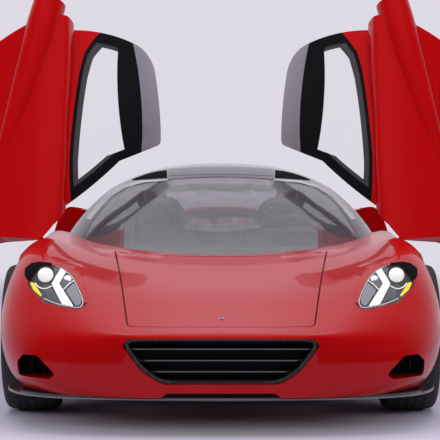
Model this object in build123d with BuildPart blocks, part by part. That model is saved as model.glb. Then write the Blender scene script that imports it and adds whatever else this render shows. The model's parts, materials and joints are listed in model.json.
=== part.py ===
"""Two-seat mid-engined sports car with butterfly doors, front lid and glazed engine lid.

Units are millimetres. The car stands on Z = 0 and faces -Y, X = 0 is its centre plane and Y = 0 lies
halfway between nose and tail. Its own left side is +X. The doors are built shut and then turned about
their hinge lines to the open position, in which the part is stored.
"""

import os
from collections import namedtuple
from math import cos, radians, sin

from build123d import *

# ---------------------------------------------------------------- driving dimensions
LENGTH = 4500
NOSE_Y = -LENGTH / 2
TAIL_Y = LENGTH / 2
AHEAD_OF_NOSE = NOSE_Y - 150    # where cuts through the nose start
BEHIND_TAIL = TAIL_Y + 50       # where cuts through the tail end
GRILLE_BACK_Y = NOSE_Y + 140
INTAKE_BACK_Y = NOSE_Y + 60
DUCT_BACK_Y = NOSE_Y + 370
LAMP_BACK_Y = NOSE_Y + 850
TAIL_FACE_Y = TAIL_Y - 70       # floor of the tail lamps and the rear grille
UNDERCUT_Y = TAIL_Y - 290       # front of the opening for the diffuser
EXHAUST_FRONT_Y = TAIL_Y - 190
FRONT_AXLE_Y = -1300
REAR_AXLE_Y = 1350

Wheel = namedtuple("Wheel", "radius width rim x y arch_gap well_x")
FRONT_TYRE_RADIUS, FRONT_TYRE_WIDTH, FRONT_RIM_RADIUS = 330, 245, 241
REAR_TYRE_RADIUS, REAR_TYRE_WIDTH, REAR_RIM_RADIUS = 345, 305, 254
FRONT = Wheel(FRONT_TYRE_RADIUS, FRONT_TYRE_WIDTH, FRONT_RIM_RADIUS, 838, FRONT_AXLE_Y, 44, 540)
REAR = Wheel(REAR_TYRE_RADIUS, REAR_TYRE_WIDTH, REAR_RIM_RADIUS, 812, REAR_AXLE_Y, 39, 628)

PANEL_GAP = 7          # between a closed door or lid and its opening
SEAT_GAP = 0.6         # between fixed neighbours
BORE_GAP = 0.06        # radial, between a pin and its bore
FRAME_WALL = 40        # canopy frame and door window frame
LID_WALL = 26
GLASS_WALL = 6
GLASS_INSET = 2

FLOOR_Z = 120
FLOOR_WALL = 30
SILL_TOP_Z = 300
CABIN_HALF_WIDTH = 745
CABIN_FRONT_Y = -980
CABIN_REAR_Y = 740
BULKHEAD_WALL = 39.4
BULKHEAD_TOP_Z = 780
SPLIT_Y = 560          # where the clams meet the sills

DOOR_HINGE_LOW = (850, -580, 715)     # left door, a point on the hinge line inside the wing
DOOR_HINGE_TOP = (370, -70, 1060)     # and one inside the windscreen header
DOOR_OPEN_DEG = 84.5
DOOR_INNER_X = 775
DOOR_FRAME = 44        # least width of the frame round a door's side window
DOOR_ROOF_X = 446      # where a door's cantrail meets its roof panel

FRONT_LID_HINGE = (-940, 686)         # y, z of the hinge line
ENGINE_LID_HINGE = (821, 1086)
LID_PIN_RADIUS = 4
DISC_RADIUS = 168
DISC_WALL = 26
SPINDLE_RADIUS = 24
KINGPIN_RADIUS = 10
STEERING_CENTRE = (345, -170, 700)
STEERING_TILT_DEG = 22
STEERING_RIM_RADIUS = 165
STEERING_GRIP_RADIUS = 14
COLUMN_RADIUS = 16
SEAT_X = 345
SEAT_HALF_WIDTH = 225
SPLITTER_Z = 146
SPLITTER_WALL = 13.4
EXHAUST_X, EXHAUST_Z, EXHAUST_RADIUS = 150, 430, 50

Station = namedtuple("Station", "y floor sill_x waist_x waist_z crest_x crest_z top_z")
# Lower body, one row for each cross-section from the nose to the tail:
# floor height, sill half-width, widest point (x, z), wing crest (x, z), height on the centre line
BODY = [
    Station(NOSE_Y, 160, 330, 392, 285, 285, 392, 402),
    Station(-2205, 160, 500, 590, 288, 420, 414, 420),
    Station(-2110, 160, 655, 752, 300, 540, 446, 440),
    Station(-1920, 160, 790, 885, 335, 655, 535, 483),
    Station(-1670, 150, 852, 948, 400, 762, 660, 541),
    Station(FRONT_AXLE_Y, 120, 884, 972, 470, 800, 755, 610),
    Station(-900, 120, 892, 958, 470, 808, 768, 680),
    Station(-450, 120, 898, 936, 450, 822, 784, 710),
    Station(150, 120, 900, 926, 445, 820, 836, 760),
    Station(700, 120, 905, 958, 520, 842, 888, 822),
    Station(REAR_AXLE_Y, 135, 915, 990, 560, 866, 872, 850),
    Station(1850, 165, 850, 962, 575, 812, 846, 850),
    Station(2140, 220, 740, 905, 585, 745, 826, 842),
    Station(TAIL_Y, 300, 640, 858, 590, 700, 806, 826),
]

Arch = namedtuple("Arch", "y foot_x knee_x knee_z brow_x top_z")
# Canopy, one row for each cross-section: half-width at its foot, then the two handles of the side
# curve (knee and brow) and the height on the centre line
CANOPY_FOOT_Z = 600
CANOPY = [
    Arch(-960, 450, 440, 620, 250, 632),
    Arch(-850, 590, 575, 665, 330, 697),
    Arch(-600, 765, 738, 768, 440, 838),
    Arch(-200, 846, 806, 940, 465, 1052),
    Arch(250, 848, 800, 1012, 478, 1133),
    Arch(740, 806, 752, 985, 468, 1108),
    Arch(1150, 720, 640, 905, 390, 1020),
    Arch(1600, 560, 480, 800, 300, 880),
    Arch(1760, 490, 420, 760, 260, 812),
]

Ridge = namedtuple("Ridge", "x y z reach half")
# Blade along each door, one row for each oval section: centre, then its half-width outwards and upwards
RIDGE = [
    Ridge(900, -60, 486, 32, 40),
    Ridge(895, 240, 602, 56, 66),
    Ridge(890, 540, 712, 82, 84),
    Ridge(885, 810, 806, 92, 80),
]

Corner = namedtuple("Corner", "u v r", defaults=(0,))
INTAKE_LENGTH = 230    # of the intake mouth, along the blade
INTAKE_END_Y = 850     # its upright back wall
# Outlines: each row is a corner and its rounding radius.
# Doors, in plan (x, y) and in side view (y, z)
DOOR_PLAN = [Corner(1150, -700), Corner(952, -700), Corner(905, -580), Corner(862, -480), Corner(805, -400),
             Corner(572, -55), Corner(302, 140, 60), Corner(302, 712, 120), Corner(1150, 712)]
DOOR_SIDE = [Corner(-592, 1350), Corner(-592, 800), Corner(-505, 500), Corner(-480, 305), Corner(545, 305),
             Corner(650, 600), Corner(712, 800), Corner(712, 1350)]
DOOR_BELT = [Corner(-700, 786), Corner(-378, 794), Corner(-78, 818), Corner(421, 878), Corner(560, 900),
             Corner(666, 938), Corner(800, 990), Corner(800, 1350), Corner(-700, 1350)]
DOOR_WINDOW = [Corner(-400, 806), Corner(-78, 831), Corner(421, 891), Corner(556, 913), Corner(640, 945),
               Corner(640, 1018, 12), Corner(-10, 1018)]
DOOR_PAD = [Corner(-380, 330, 40), Corner(520, 330, 60), Corner(600, 570), Corner(600, 592),
            Corner(-380, 592)]
# Side intake, across the blade's end (outwards, downwards)
INTAKE = [Corner(-104, -320), Corner(-104, 97, 78), Corner(320, 97), Corner(320, -320)]
INTAKE_MOUTH = [Corner(781, 1250), Corner(781, 718, 78), Corner(1200, 718), Corner(1200, 1250)]
# Lids and screens, in plan
FRONT_LID_PLAN = [Corner(376, NOSE_Y + 122, 34), Corner(495, -935), Corner(-495, -935),
                  Corner(-376, NOSE_Y + 122, 34)]
ENGINE_LID_PLAN = [Corner(-415, 816), Corner(415, 816), Corner(470, 1300), Corner(560, TAIL_Y - 290),
                   Corner(-560, TAIL_Y - 290), Corner(-470, 1300)]
REAR_GLASS_PLAN = [Corner(-330, 900, 30), Corner(330, 900, 30), Corner(300, 1560, 60), Corner(-300, 1560, 60)]
SCREEN_HALF = [Corner(300, -186), Corner(470, -165, 20), Corner(545, -230), Corner(640, -430),
               Corner(705, -620, 40), Corner(640, -780), Corner(420, -890), Corner(0, -925)]
SCREEN_PLAN = SCREEN_HALF + [Corner(-c.u, c.v, c.r) for c in SCREEN_HALF[-2::-1]]
# Nose and tail, in front view (x, z)
GRILLE_HALF = [Corner(236, 212, 90), Corner(318, 262, 180), Corner(397, 368, 14), Corner(372, 395, 20)]
GRILLE = GRILLE_HALF + [Corner(-c.u, c.v, c.r) for c in GRILLE_HALF[::-1]]
DUCT = [Corner(842, 286, 20), Corner(812, 318, 24), Corner(748, 318, 30), Corner(668, 243, 14),
        Corner(700, 224, 10), Corner(838, 224, 14)]
LOWER_INTAKE = [Corner(272, 140), Corner(215, 178, 10), Corner(-215, 178, 10), Corner(-272, 140)]
HEADLAMP = [Corner(845, 600, 30), Corner(742, 668, 70), Corner(620, 650, 50), Corner(556, 520, 14),
            Corner(590, 494, 20), Corner(742, 520, 60)]
TAIL_PANEL = [Corner(-560, 600), Corner(560, 600), Corner(520, 690), Corner(-520, 690)]
TAIL_LAMP = [Corner(585, 640, 18), Corner(770, 640, 24), Corner(790, 735, 30), Corner(560, 735, 18)]
WELL_CAP = [Corner(500, 50), Corner(500, 590), Corner(640, 612), Corner(715, 690), Corner(740, 900),
            Corner(1300, 900), Corner(1300, 50)]
GRILLE_BAR_Z = (260, 305, 351)
GRILLE_RIM = 16
# Seat, in side view (y, z) and in front view (x, z)
SEAT_SIDE = [Corner(-60, 150, 40), Corner(480, 150, 60), Corner(600, 620), Corner(690, 900, 30),
             Corner(640, 965, 30), Corner(560, 950, 20), Corner(420, 480, 60), Corner(330, 330, 40),
             Corner(-60, 380, 60)]
SEAT_HOLLOW = [Corner(-80, 330), Corner(330, 270, 60), Corner(430, 420, 60), Corner(570, 800), Corner(450, 850),
               Corner(-80, 600)]
SEAT_FRONT = [Corner(120, 140), Corner(565, 140), Corner(565, 780, 40), Corner(478, 930, 60),
              Corner(400, 962, 60), Corner(290, 962, 40), Corner(245, 915, 40), Corner(205, 840, 60),
              Corner(120, 760)]
DASH_SIDE = [Corner(-979.4, 500), Corner(-979.4, 590), Corner(-860, 640), Corner(-640, 700),
             Corner(-440, 716, 20), Corner(-400, 680, 20), Corner(-440, 560, 40), Corner(-560, 500, 40)]
DIFFUSER_SIDE = [Corner(UNDERCUT_Y + 0.6, 168), Corner(TAIL_Y - 15, 290), Corner(TAIL_Y - 15, 344.4),
                 Corner(UNDERCUT_Y + 0.6, 344.4)]
DIFFUSER_FIN = [Corner(UNDERCUT_Y + 10, 160), Corner(TAIL_Y - 25, 200), Corner(TAIL_Y - 25, 300),
                Corner(UNDERCUT_Y + 10, 190)]
DIFFUSER_FIN_X = (-450, -250, -50, 38, 238, 438)

HINGE_LOW = Vector(*DOOR_HINGE_LOW)
HINGE_DIR = (Vector(*DOOR_HINGE_TOP) - HINGE_LOW).normalized()
HINGE_ARM = Vector(35, 65, -35)       # from the hinge line to the door
HINGE_PIN_RADIUS = 8
HINGE_ARM_RADIUS = 11


# ---------------------------------------------------------------- shapes
def at_y(y):
    """Plane across the car at y: local x is X and local y is Z."""
    return Plane.XZ.offset(-y)


def body_loft(inset=0):
    """Lower body lofted through its stations, every section drawn in by inset."""
    with BuildPart() as body:
        for s in BODY:
            with BuildSketch(at_y(s.y)):
                with BuildLine():
                    floor, sill = s.floor + inset, s.sill_x - inset
                    waist, crest = s.waist_x - inset, s.crest_z - inset
                    top = s.top_z - inset
                    Line((0, floor), (sill, floor))
                    Bezier(
                        (sill, floor),
                        (sill + 0.45 * (waist - sill), floor + 0.1 * (s.waist_z - floor)),
                        (waist, floor + 0.45 * (s.waist_z - floor)),
                        (waist, s.waist_z),
                    )
                    Bezier(
                        (waist, s.waist_z),
                        (waist, s.waist_z + 0.62 * (crest - s.waist_z)),
                        (s.crest_x + 0.48 * (waist - s.crest_x), crest),
                        (s.crest_x, crest),
                    )
                    Bezier(
                        (s.crest_x, crest),
                        (0.88 * s.crest_x, crest),
                        (0.84 * s.crest_x, top),
                        (0, top),
                    )
                    mirror(about=Plane.YZ)
                make_face()
        loft()
    return body.part


def canopy_loft(inset=0):
    """Canopy of windscreen, roof and rear glass, every section drawn in by inset.

    Its foot and its two ends reach past the outer canopy's, so that cuts run right through.
    """
    reach, ends = abs(inset), {CANOPY[0].y: -1, CANOPY[-1].y: 1}
    with BuildPart() as canopy:
        for a in CANOPY:
            with BuildSketch(at_y(a.y + reach * ends.get(a.y, 0))):
                with BuildLine():
                    foot, top, foot_z = a.foot_x - inset, a.top_z - inset, CANOPY_FOOT_Z - reach
                    Line((0, foot_z), (foot, foot_z))
                    Bezier(
                        (foot, foot_z),
                        (a.knee_x - inset, a.knee_z - 0.5 * inset),
                        (a.brow_x, top),
                        (0, top),
                    )
                    mirror(about=Plane.YZ)
                make_face()
        loft()
    return canopy.part


def ridge_loft():
    """Blade along the left door."""
    rise = Vector(0, RIDGE[-1].y - RIDGE[0].y, RIDGE[-1].z - RIDGE[0].z).normalized()
    with BuildPart() as ridge:
        for s in RIDGE:
            with BuildSketch(Plane((s.x, s.y, s.z), x_dir=(1, 0, 0), z_dir=rise)):
                Ellipse(s.reach, s.half)
        loft()
    return ridge.part


def ridge_room():
    """Intake mouth behind each door, open upwards and outwards so that the blade swings clear."""
    rise = Vector(0, RIDGE[-1].y - RIDGE[0].y, RIDGE[-1].z - RIDGE[0].z).normalized()
    end = Vector(RIDGE[-1].x, RIDGE[-1].y, RIDGE[-1].z) + rise * (PANEL_GAP + 1)
    with BuildPart() as room:
        add(prism(Plane(end, x_dir=(1, 0, 0), z_dir=rise), INTAKE, 0, -INTAKE_LENGTH))
        add(front_prism(INTAKE_MOUTH, 0, (INTAKE_END_Y - 150, INTAKE_END_Y)))
        both_sides()
    return room.part


def box(x, y, z):
    """Axis-aligned box from three (low, high) pairs."""
    spans = (x, y, z)
    with BuildPart() as block:
        with Locations(tuple((low + high) / 2 for low, high in spans)):
            Box(*[high - low for low, high in spans])
    return block.part


def prism(plane, corners, gap, length):
    """Closed outline on a plane, grown by gap and extruded along its normal."""
    with BuildPart() as solid:
        with BuildSketch(plane):
            with BuildLine():
                if any(c.r for c in corners):
                    FilletPolyline(*[(c.u, c.v) for c in corners], radius=[c.r for c in corners], close=True)
                else:
                    Polyline(*[(c.u, c.v) for c in corners], close=True)
            make_face()
            if gap:
                offset(amount=gap, kind=Kind.INTERSECTION)
        extrude(amount=length)
    return solid.part


def plan_prism(corners, gap=0, z=(100, 1400)):
    """Outline drawn in plan (x, y), grown by gap and extruded upwards."""
    return prism(Plane.XY.offset(z[0]), corners, gap, z[1] - z[0])


def side_prism(corners, gap=0, x=(0, 1300)):
    """Outline drawn in side view (y, z), grown by gap and extruded across the car."""
    return prism(Plane.YZ.offset(x[0]), corners, gap, x[1] - x[0])


def front_prism(corners, gap=0, y=(AHEAD_OF_NOSE, NOSE_Y + 250)):
    """Outline drawn in front view (x, z), grown by gap and extruded rearwards."""
    return prism(at_y(y[0]), corners, gap, y[0] - y[1])


def rod(start, end, radius):
    """Round bar between two points."""
    start, end = Vector(*start), Vector(*end)
    with BuildPart() as bar:
        with BuildSketch(Plane(origin=start, z_dir=end - start)):
            Circle(radius)
        extrude(amount=(end - start).length)
    return bar.part


def mirrored(shape):
    """The same shape on the other side of the centre plane."""
    with BuildPart() as twin:
        mirror(shape, about=Plane.YZ)
    return twin.part


def cut(*shapes):
    """Takes shapes away from the piece being built."""
    add(shapes, mode=Mode.SUBTRACT)


def keep(*shapes):
    """Keeps only what the piece being built shares with each shape."""
    for shape in shapes:
        add(shape, mode=Mode.INTERSECT)


def both_sides():
    """Adds the mirror image of the piece being built."""
    mirror(about=Plane.YZ)


def save(piece, name):
    """Labels a finished piece and writes its STEP file."""
    piece.part.label = name
    export_step(piece.part, f"parts/{name}.step")


def save_pair(piece, start, end):
    """Writes a left piece and its mirror image."""
    save(piece, f"{start}_left_{end}")
    with BuildPart() as twin:
        add(mirrored(piece.part))
    save(twin, f"{start}_right_{end}")


def wheel_well(wheel):
    """Left wheel's well in the body."""
    centre = (wheel.well_x, wheel.y, wheel.radius)
    return rod(centre, (1200, wheel.y, wheel.radius), wheel.radius + wheel.arch_gap)


def door_volume(gap=0):
    """Everything the left door may fill, grown by gap for its opening."""
    with BuildPart() as volume:
        add(plan_prism(DOOR_PLAN, gap))
        keep(side_prism(DOOR_SIDE, gap))
    return volume.part


def cabin_space():
    """The hollow between the pieces round the cabin."""
    floor_top = FLOOR_Z + FLOOR_WALL
    with BuildPart() as cabin:
        add(box((-DOOR_INNER_X, DOOR_INNER_X), (-600, CABIN_REAR_Y), (SILL_TOP_Z, 740)))
        add(box((-620, 620), (-600, CABIN_REAR_Y), (floor_top, SILL_TOP_Z + 10)))
        add(box((-640, 640), (CABIN_FRONT_Y, -590), (floor_top, 640)))
    return cabin.part


def lid_lug(x, hinge, reach, fixed_side):
    """Lug with a cross pin on the fixed panel, and the room that it needs in the lid."""
    y, z = hinge
    ahead = -1 if fixed_side > 0 else 1
    with BuildPart() as lug:
        add(box((x - 10, x + 10), sorted((y + fixed_side * reach, y + ahead * 8)), (z - 8, z + 6)))
        add(rod((x - 32, y, z), (x + 32, y, z), LID_PIN_RADIUS))
    with BuildPart() as room:
        add(box((x - 17, x + 17), sorted((y + fixed_side * reach, y + ahead * 20)), (z - 60, z + 60)))
        add(rod((x - 33, y, z), (x + 33, y, z), LID_PIN_RADIUS + BORE_GAP))
    return lug.part, room.part


def door_knuckle():
    """Left door's hinge barrel, pin and arm, shut, and the room that they sweep in the wing."""
    barrel, pin, room_radius, sweep = 20, 42, 21, 110
    low, high = HINGE_LOW - HINGE_DIR * pin, HINGE_LOW + HINGE_DIR * pin
    with BuildPart() as knuckle:
        add(rod(HINGE_LOW - HINGE_DIR * barrel, HINGE_LOW + HINGE_DIR * barrel, 15))
        add(rod(low, high, HINGE_PIN_RADIUS))
        add(rod(HINGE_LOW, HINGE_LOW + HINGE_ARM, HINGE_ARM_RADIUS))
    across = (HINGE_ARM - HINGE_DIR * HINGE_ARM.dot(HINGE_DIR)).normalized()
    across = across.rotate(Axis((0, 0, 0), tuple(HINGE_DIR)), 32)
    with BuildPart() as swing:
        with BuildSketch(Plane(HINGE_LOW, x_dir=across, z_dir=across.cross(HINGE_DIR))):
            with Locations((sweep / 2, 0)):
                Rectangle(sweep, 40)
        revolve(axis=Axis(HINGE_LOW, -HINGE_DIR), revolution_arc=154)
    with BuildPart() as room:
        add(rod(HINGE_LOW - HINGE_DIR * (barrel + 6), HINGE_LOW + HINGE_DIR * (barrel + 6), room_radius))
        add(rod(low - HINGE_DIR, high + HINGE_DIR, HINGE_PIN_RADIUS + BORE_GAP))
        add(swing.part)
    return knuckle.part, room.part


# ---------------------------------------------------------------- front end
def front_end(body, canopy_seat, cabin, openings, hinge_room):
    """Front clam and lid, lamps, grille, ducts and splitter."""
    wells = wheel_well(FRONT)
    with BuildPart() as room:
        add(wells)
        keep(front_prism(WELL_CAP, 0, (-2000, -600)))
        both_sides()
    with BuildPart() as recess:
        add(body_loft(-2))
        cut(body_loft(LID_WALL + 6))
        keep(plan_prism(FRONT_LID_PLAN, PANEL_GAP) + box((-495, 495), (-945, -924), (100, 1400)))
    with BuildPart() as duct:
        add(front_prism(DUCT, 0, (AHEAD_OF_NOSE, DUCT_BACK_Y)))
        both_sides()
    with BuildPart() as lamp_room:
        add(front_prism(HEADLAMP, 0, (AHEAD_OF_NOSE, LAMP_BACK_Y)))
        cut(body.moved(Location((0, 55, -42))))
        both_sides()
    lugs = [lid_lug(x, FRONT_LID_HINGE, 30, 1) for x in (-455, 455)]
    with BuildPart() as front_clam:
        add(body)
        keep(box((-1200, 1200), (AHEAD_OF_NOSE, -400), (100, 1400)))
        cut(box((-1200, 1200), (-500, -390), (100, SILL_TOP_Z)))
        cut(room.part)
        cut(canopy_seat)
        cut(cabin)
        cut(openings)
        cut(recess.part)
        cut(box((-330, 330), (NOSE_Y + 510, -1020), (260, 900)))
        cut(front_prism(GRILLE, 0, (AHEAD_OF_NOSE, GRILLE_BACK_Y)))
        cut(front_prism(LOWER_INTAKE, 0, (AHEAD_OF_NOSE, INTAKE_BACK_Y)))
        cut(duct.part)
        cut(lamp_room.part)
        cut(hinge_room)
        for lug, _ in lugs:
            add(lug)
    save(front_clam, "front_clam")

    with BuildPart() as front_lid:
        add(body)
        cut(body_loft(LID_WALL))
        keep(plan_prism(FRONT_LID_PLAN, 0, (300, 1400)))
        for _, notch in lugs:
            cut(notch)
    save(front_lid, "front_lid")

    with BuildPart() as headlamp:
        add(front_prism(HEADLAMP, -SEAT_GAP, (AHEAD_OF_NOSE, LAMP_BACK_Y)))
        keep(body.moved(Location((0, 36, -27.5))))
        cut(body.moved(Location((0, 54.5, -41.6))))
    save(headlamp, "headlamp_left")
    with BuildPart() as headlamp_twin:
        add(mirrored(headlamp.part))
    save(headlamp_twin, "headlamp_right")
    with BuildPart() as covers:
        add(front_prism(HEADLAMP, -SEAT_GAP, (AHEAD_OF_NOSE, LAMP_BACK_Y)))
        keep(body.moved(Location((0, 1.5, -1))))
        cut(body.moved(Location((0, 6.5, -5))))
        both_sides()
    save(covers, "headlamp_covers")

    with BuildPart() as grille:
        add(front_prism(GRILLE, -SEAT_GAP, (NOSE_Y + 50, GRILLE_BACK_Y - 1)))
        cut(front_prism(GRILLE, -GRILLE_RIM, (AHEAD_OF_NOSE, GRILLE_BACK_Y - 14)))
        for z in GRILLE_BAR_Z:
            with BuildPart(mode=Mode.PRIVATE) as bar:
                add(front_prism(GRILLE, -GRILLE_RIM + 2, (NOSE_Y + 54, GRILLE_BACK_Y - 10)))
                keep(box((-500, 500), (AHEAD_OF_NOSE, NOSE_Y + 250), (z - 4, z + 4)))
            add(bar.part)
    save(grille, "grille")
    with BuildPart() as meshes:
        add(front_prism(DUCT, -SEAT_GAP, (DUCT_BACK_Y - 14, DUCT_BACK_Y - SEAT_GAP)))
        both_sides()
    save(meshes, "side_duct_meshes")
    with BuildPart() as lower_intake:
        add(front_prism(LOWER_INTAKE, -SEAT_GAP, (NOSE_Y + 35, INTAKE_BACK_Y - SEAT_GAP)))
        keep(box((-400, 400), (AHEAD_OF_NOSE, NOSE_Y + 150), (SPLITTER_Z + SPLITTER_WALL + SEAT_GAP, 200)))
    save(lower_intake, "lower_intake")

    with BuildPart() as splitter:
        with BuildSketch(Plane.XY.offset(SPLITTER_Z)):
            with BuildLine():
                Bezier((0, NOSE_Y + 10), (450, NOSE_Y + 10), (872, NOSE_Y + 100), (908, NOSE_Y + 550))
                Polyline((908, NOSE_Y + 550), (700, NOSE_Y + 550), (560, NOSE_Y + 290), (0, NOSE_Y + 190))
                mirror(about=Plane.YZ)
            make_face()
        extrude(amount=SPLITTER_WALL)
        cut(box((-1000, 1000), (NOSE_Y + 305, NOSE_Y + 650), (149.4, 200)))
        cut(wells, mirrored(wells))
    save(splitter, "splitter")


# ---------------------------------------------------------------- rear end
def rear_end(body, canopy, canopy_seat, cabin, openings, pane):
    """Rear clam, lamps, diffuser, exhausts, engine lid and its glass. Returns the lid's hinge lugs."""
    with BuildPart() as lamp:
        add(front_prism(TAIL_LAMP, 0, (TAIL_FACE_Y, BEHIND_TAIL)))
        both_sides()
    with BuildPart() as recess:
        add(body_loft(-2))
        cut(body_loft(LID_WALL + 6))
        keep(plan_prism(ENGINE_LID_PLAN, PANEL_GAP, (600, 1400)))
    well = wheel_well(REAR)
    with BuildPart() as rear_clam:
        add(body)
        keep(box((-1200, 1200), (SPLIT_Y, BEHIND_TAIL), (100, 1400)))
        cut(well, mirrored(well))
        cut(canopy_seat)
        cut(cabin)
        cut(openings)
        cut(box((-622, 622), (500, CABIN_REAR_Y + BULKHEAD_WALL + SEAT_GAP), (100, 1400)))
        cut(recess.part)
        cut(box((-400, 400), (700, TAIL_Y - 330), (260, 1400)))
        cut(front_prism(TAIL_PANEL, 0, (TAIL_FACE_Y, BEHIND_TAIL)))
        cut(lamp.part)
        cut(box((-520, 520), (UNDERCUT_Y, BEHIND_TAIL), (100, 345)))
        for x in (-EXHAUST_X, EXHAUST_X):
            cut(rod((x, EXHAUST_FRONT_Y, EXHAUST_Z), (x, BEHIND_TAIL, EXHAUST_Z), EXHAUST_RADIUS + 6))
        cut(ridge_room())
    save(rear_clam, "rear_clam")
    with BuildPart() as rear_grille:
        add(front_prism(TAIL_PANEL, -SEAT_GAP, (TAIL_FACE_Y + 1, TAIL_Y - 35)))
    save(rear_grille, "rear_grille")
    with BuildPart() as tail_lamps:
        add(front_prism(TAIL_LAMP, -SEAT_GAP, (TAIL_FACE_Y + 1, BEHIND_TAIL)))
        keep(body.moved(Location((0, -3, 0))))
        both_sides()
    save(tail_lamps, "tail_lamps")
    with BuildPart() as diffuser:
        add(side_prism(DIFFUSER_SIDE, 0, (-519, 519)))
        for x in DIFFUSER_FIN_X:
            add(side_prism(DIFFUSER_FIN, 0, (x, x + 12)))
    save(diffuser, "diffuser")
    with BuildPart() as tips:
        add(rod((EXHAUST_X, EXHAUST_FRONT_Y + 0.5, EXHAUST_Z), (EXHAUST_X, TAIL_Y - 6, EXHAUST_Z), EXHAUST_RADIUS))
        cut(rod((EXHAUST_X, EXHAUST_FRONT_Y + 60, EXHAUST_Z), (EXHAUST_X, BEHIND_TAIL, EXHAUST_Z), EXHAUST_RADIUS - 6))
        both_sides()
    save(tips, "exhaust_tips")

    lugs = [lid_lug(x, ENGINE_LID_HINGE, 30, -1) for x in (-75, 75)]
    with BuildPart() as engine_lid:
        add(canopy)
        add(body)
        keep(plan_prism(ENGINE_LID_PLAN, 0, (600, 1400)))
        cut(canopy_loft(LID_WALL))
        cut(body_loft(LID_WALL))
        cut(plan_prism(REAR_GLASS_PLAN, 0, (600, 1400)))
        for _, notch in lugs:
            cut(notch)
    save(engine_lid, "engine_lid")
    with BuildPart() as rear_glass:
        add(pane)
        keep(plan_prism(REAR_GLASS_PLAN, -SEAT_GAP, (700, 1400)))
    save(rear_glass, "rear_glass")
    return [lug for lug, _ in lugs]


# ---------------------------------------------------------------- canopy frame, windscreen and tub
def cabin_shell(body, canopy, canopy_seat, cabin, openings, pane, lid_lugs):
    """Roof frame with its rear header, windscreen, and the tub with its bulkhead and jacking pads."""
    well = wheel_well(REAR)
    with BuildPart() as roof_frame:
        add(canopy)
        cut(canopy_loft(FRAME_WALL))
        with BuildPart(mode=Mode.PRIVATE) as header:
            add(canopy)
            keep(box((-470, 470), (CABIN_REAR_Y + 6, 800), (983, 1400)))
        add(header.part)
        cut(openings)
        cut(plan_prism(SCREEN_PLAN, 0, (550, 1400)))
        cut(plan_prism(ENGINE_LID_PLAN, PANEL_GAP, (550, 1400)))
        cut(box((-420, 420), (805, 820), (900, 1400)))
        cut(well, mirrored(well))
        cut(box((-1200, 1200), (-1000, -922), (500, 900)))
        for lug in lid_lugs:
            add(lug)
        cut(ridge_room())
    save(roof_frame, "roof_frame")
    with BuildPart() as windshield:
        add(pane)
        keep(plan_prism(SCREEN_PLAN, -SEAT_GAP, (600, 1400)))
    save(windshield, "windshield")
    sills, wall = (FLOOR_Z - 5, SILL_TOP_Z - PANEL_GAP), (500, CABIN_REAR_Y + BULKHEAD_WALL)
    with BuildPart() as tub:
        add(box((-1200, 1200), (-499.4, SPLIT_Y - SEAT_GAP), sills))
        add(box((-621.4, 621.4), wall, (FLOOR_Z - 5, BULKHEAD_TOP_Z)))
        keep(body)
        cut(canopy_seat)
        cut(cabin)
        for y in (-420, 470):
            pad = rod((700, y, FLOOR_Z - 12), (700, y, FLOOR_Z + 20), 40)
            add(pad)
            add(mirrored(pad))
    save(tub, "tub")


# ---------------------------------------------------------------- cabin and engine
def cabin_pieces():
    """Dashboard, steering wheel, console, seats, engine block and intake plenums."""
    column_dir = Vector(0, cos(radians(STEERING_TILT_DEG)), sin(radians(STEERING_TILT_DEG)))
    hub = Vector(*STEERING_CENTRE)
    with BuildPart() as upper_room:
        add(canopy_loft(FRAME_WALL + 6))
        keep(box((-740, 740), (-900, -300), (600, 900)))
        add(box((-639.4, 639.4), (-979.4, -300), (400, 600)))
    with BuildPart() as dashboard:
        add(side_prism(DASH_SIDE, 0, (-740, 740)))
        keep(upper_room.part)
        add(box((SEAT_X - 120, SEAT_X + 120), (-500, -380), (690, 778)))
        cut(rod(hub - column_dir * 330, hub - column_dir * 20, COLUMN_RADIUS + BORE_GAP))
    save(dashboard, "dashboard")
    rim_plane = Plane(origin=hub, x_dir=(1, 0, 0), z_dir=column_dir)
    with BuildPart() as steering_wheel:
        with Locations(rim_plane.location):
            Torus(STEERING_RIM_RADIUS, STEERING_GRIP_RADIUS)
        with BuildSketch(rim_plane.offset(-8)):
            Rectangle(2 * STEERING_RIM_RADIUS, 30)
            with Locations((0, -STEERING_RIM_RADIUS / 2)):
                Rectangle(26, STEERING_RIM_RADIUS)
            Circle(46)
        extrude(amount=16)
        add(rod(hub - column_dir * 300, hub + column_dir * 4, COLUMN_RADIUS))
    save(steering_wheel, "steering_wheel")
    with BuildPart() as console:
        add(box((-95, 95), (-560, 640), (FLOOR_Z + FLOOR_WALL, 340)))
        fillet(console.faces().sort_by(Axis.Z)[-1].edges().filter_by(Axis.Y), 20)
    save(console, "centre_console")
    with BuildPart() as seat:
        add(side_prism(SEAT_SIDE, 0, (SEAT_X - SEAT_HALF_WIDTH, SEAT_X + SEAT_HALF_WIDTH)))
        cut(side_prism(SEAT_HOLLOW, 0, (SEAT_X - 150, SEAT_X + 150)))
        keep(front_prism(SEAT_FRONT, 0, (-200, 800)))
    save(seat, "seat_left")
    with BuildPart() as seat_twin:
        add(mirrored(seat.part))
    save(seat_twin, "seat_right")
    with BuildPart() as engine:
        add(box((-235, 235), (850, 1260), (260, 650)))
        add(box((-150, 150), (1250, 1780), (260, 520)))
    save(engine, "engine")
    with BuildPart() as plenums:
        add(box((58, 192), (960, 1250), (650, 825)))
        fillet(plenums.faces().sort_by(Axis.Z)[-1].edges().filter_by(Axis.Y), 45)
        both_sides()
    save(plenums, "intake_plenums")


# ---------------------------------------------------------------- wheels and suspension
def hub_face(wheel):
    """x of the disc's inner face, which the spindle and caliper follow."""
    return wheel.x + wheel.width / 2 - 84


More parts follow.
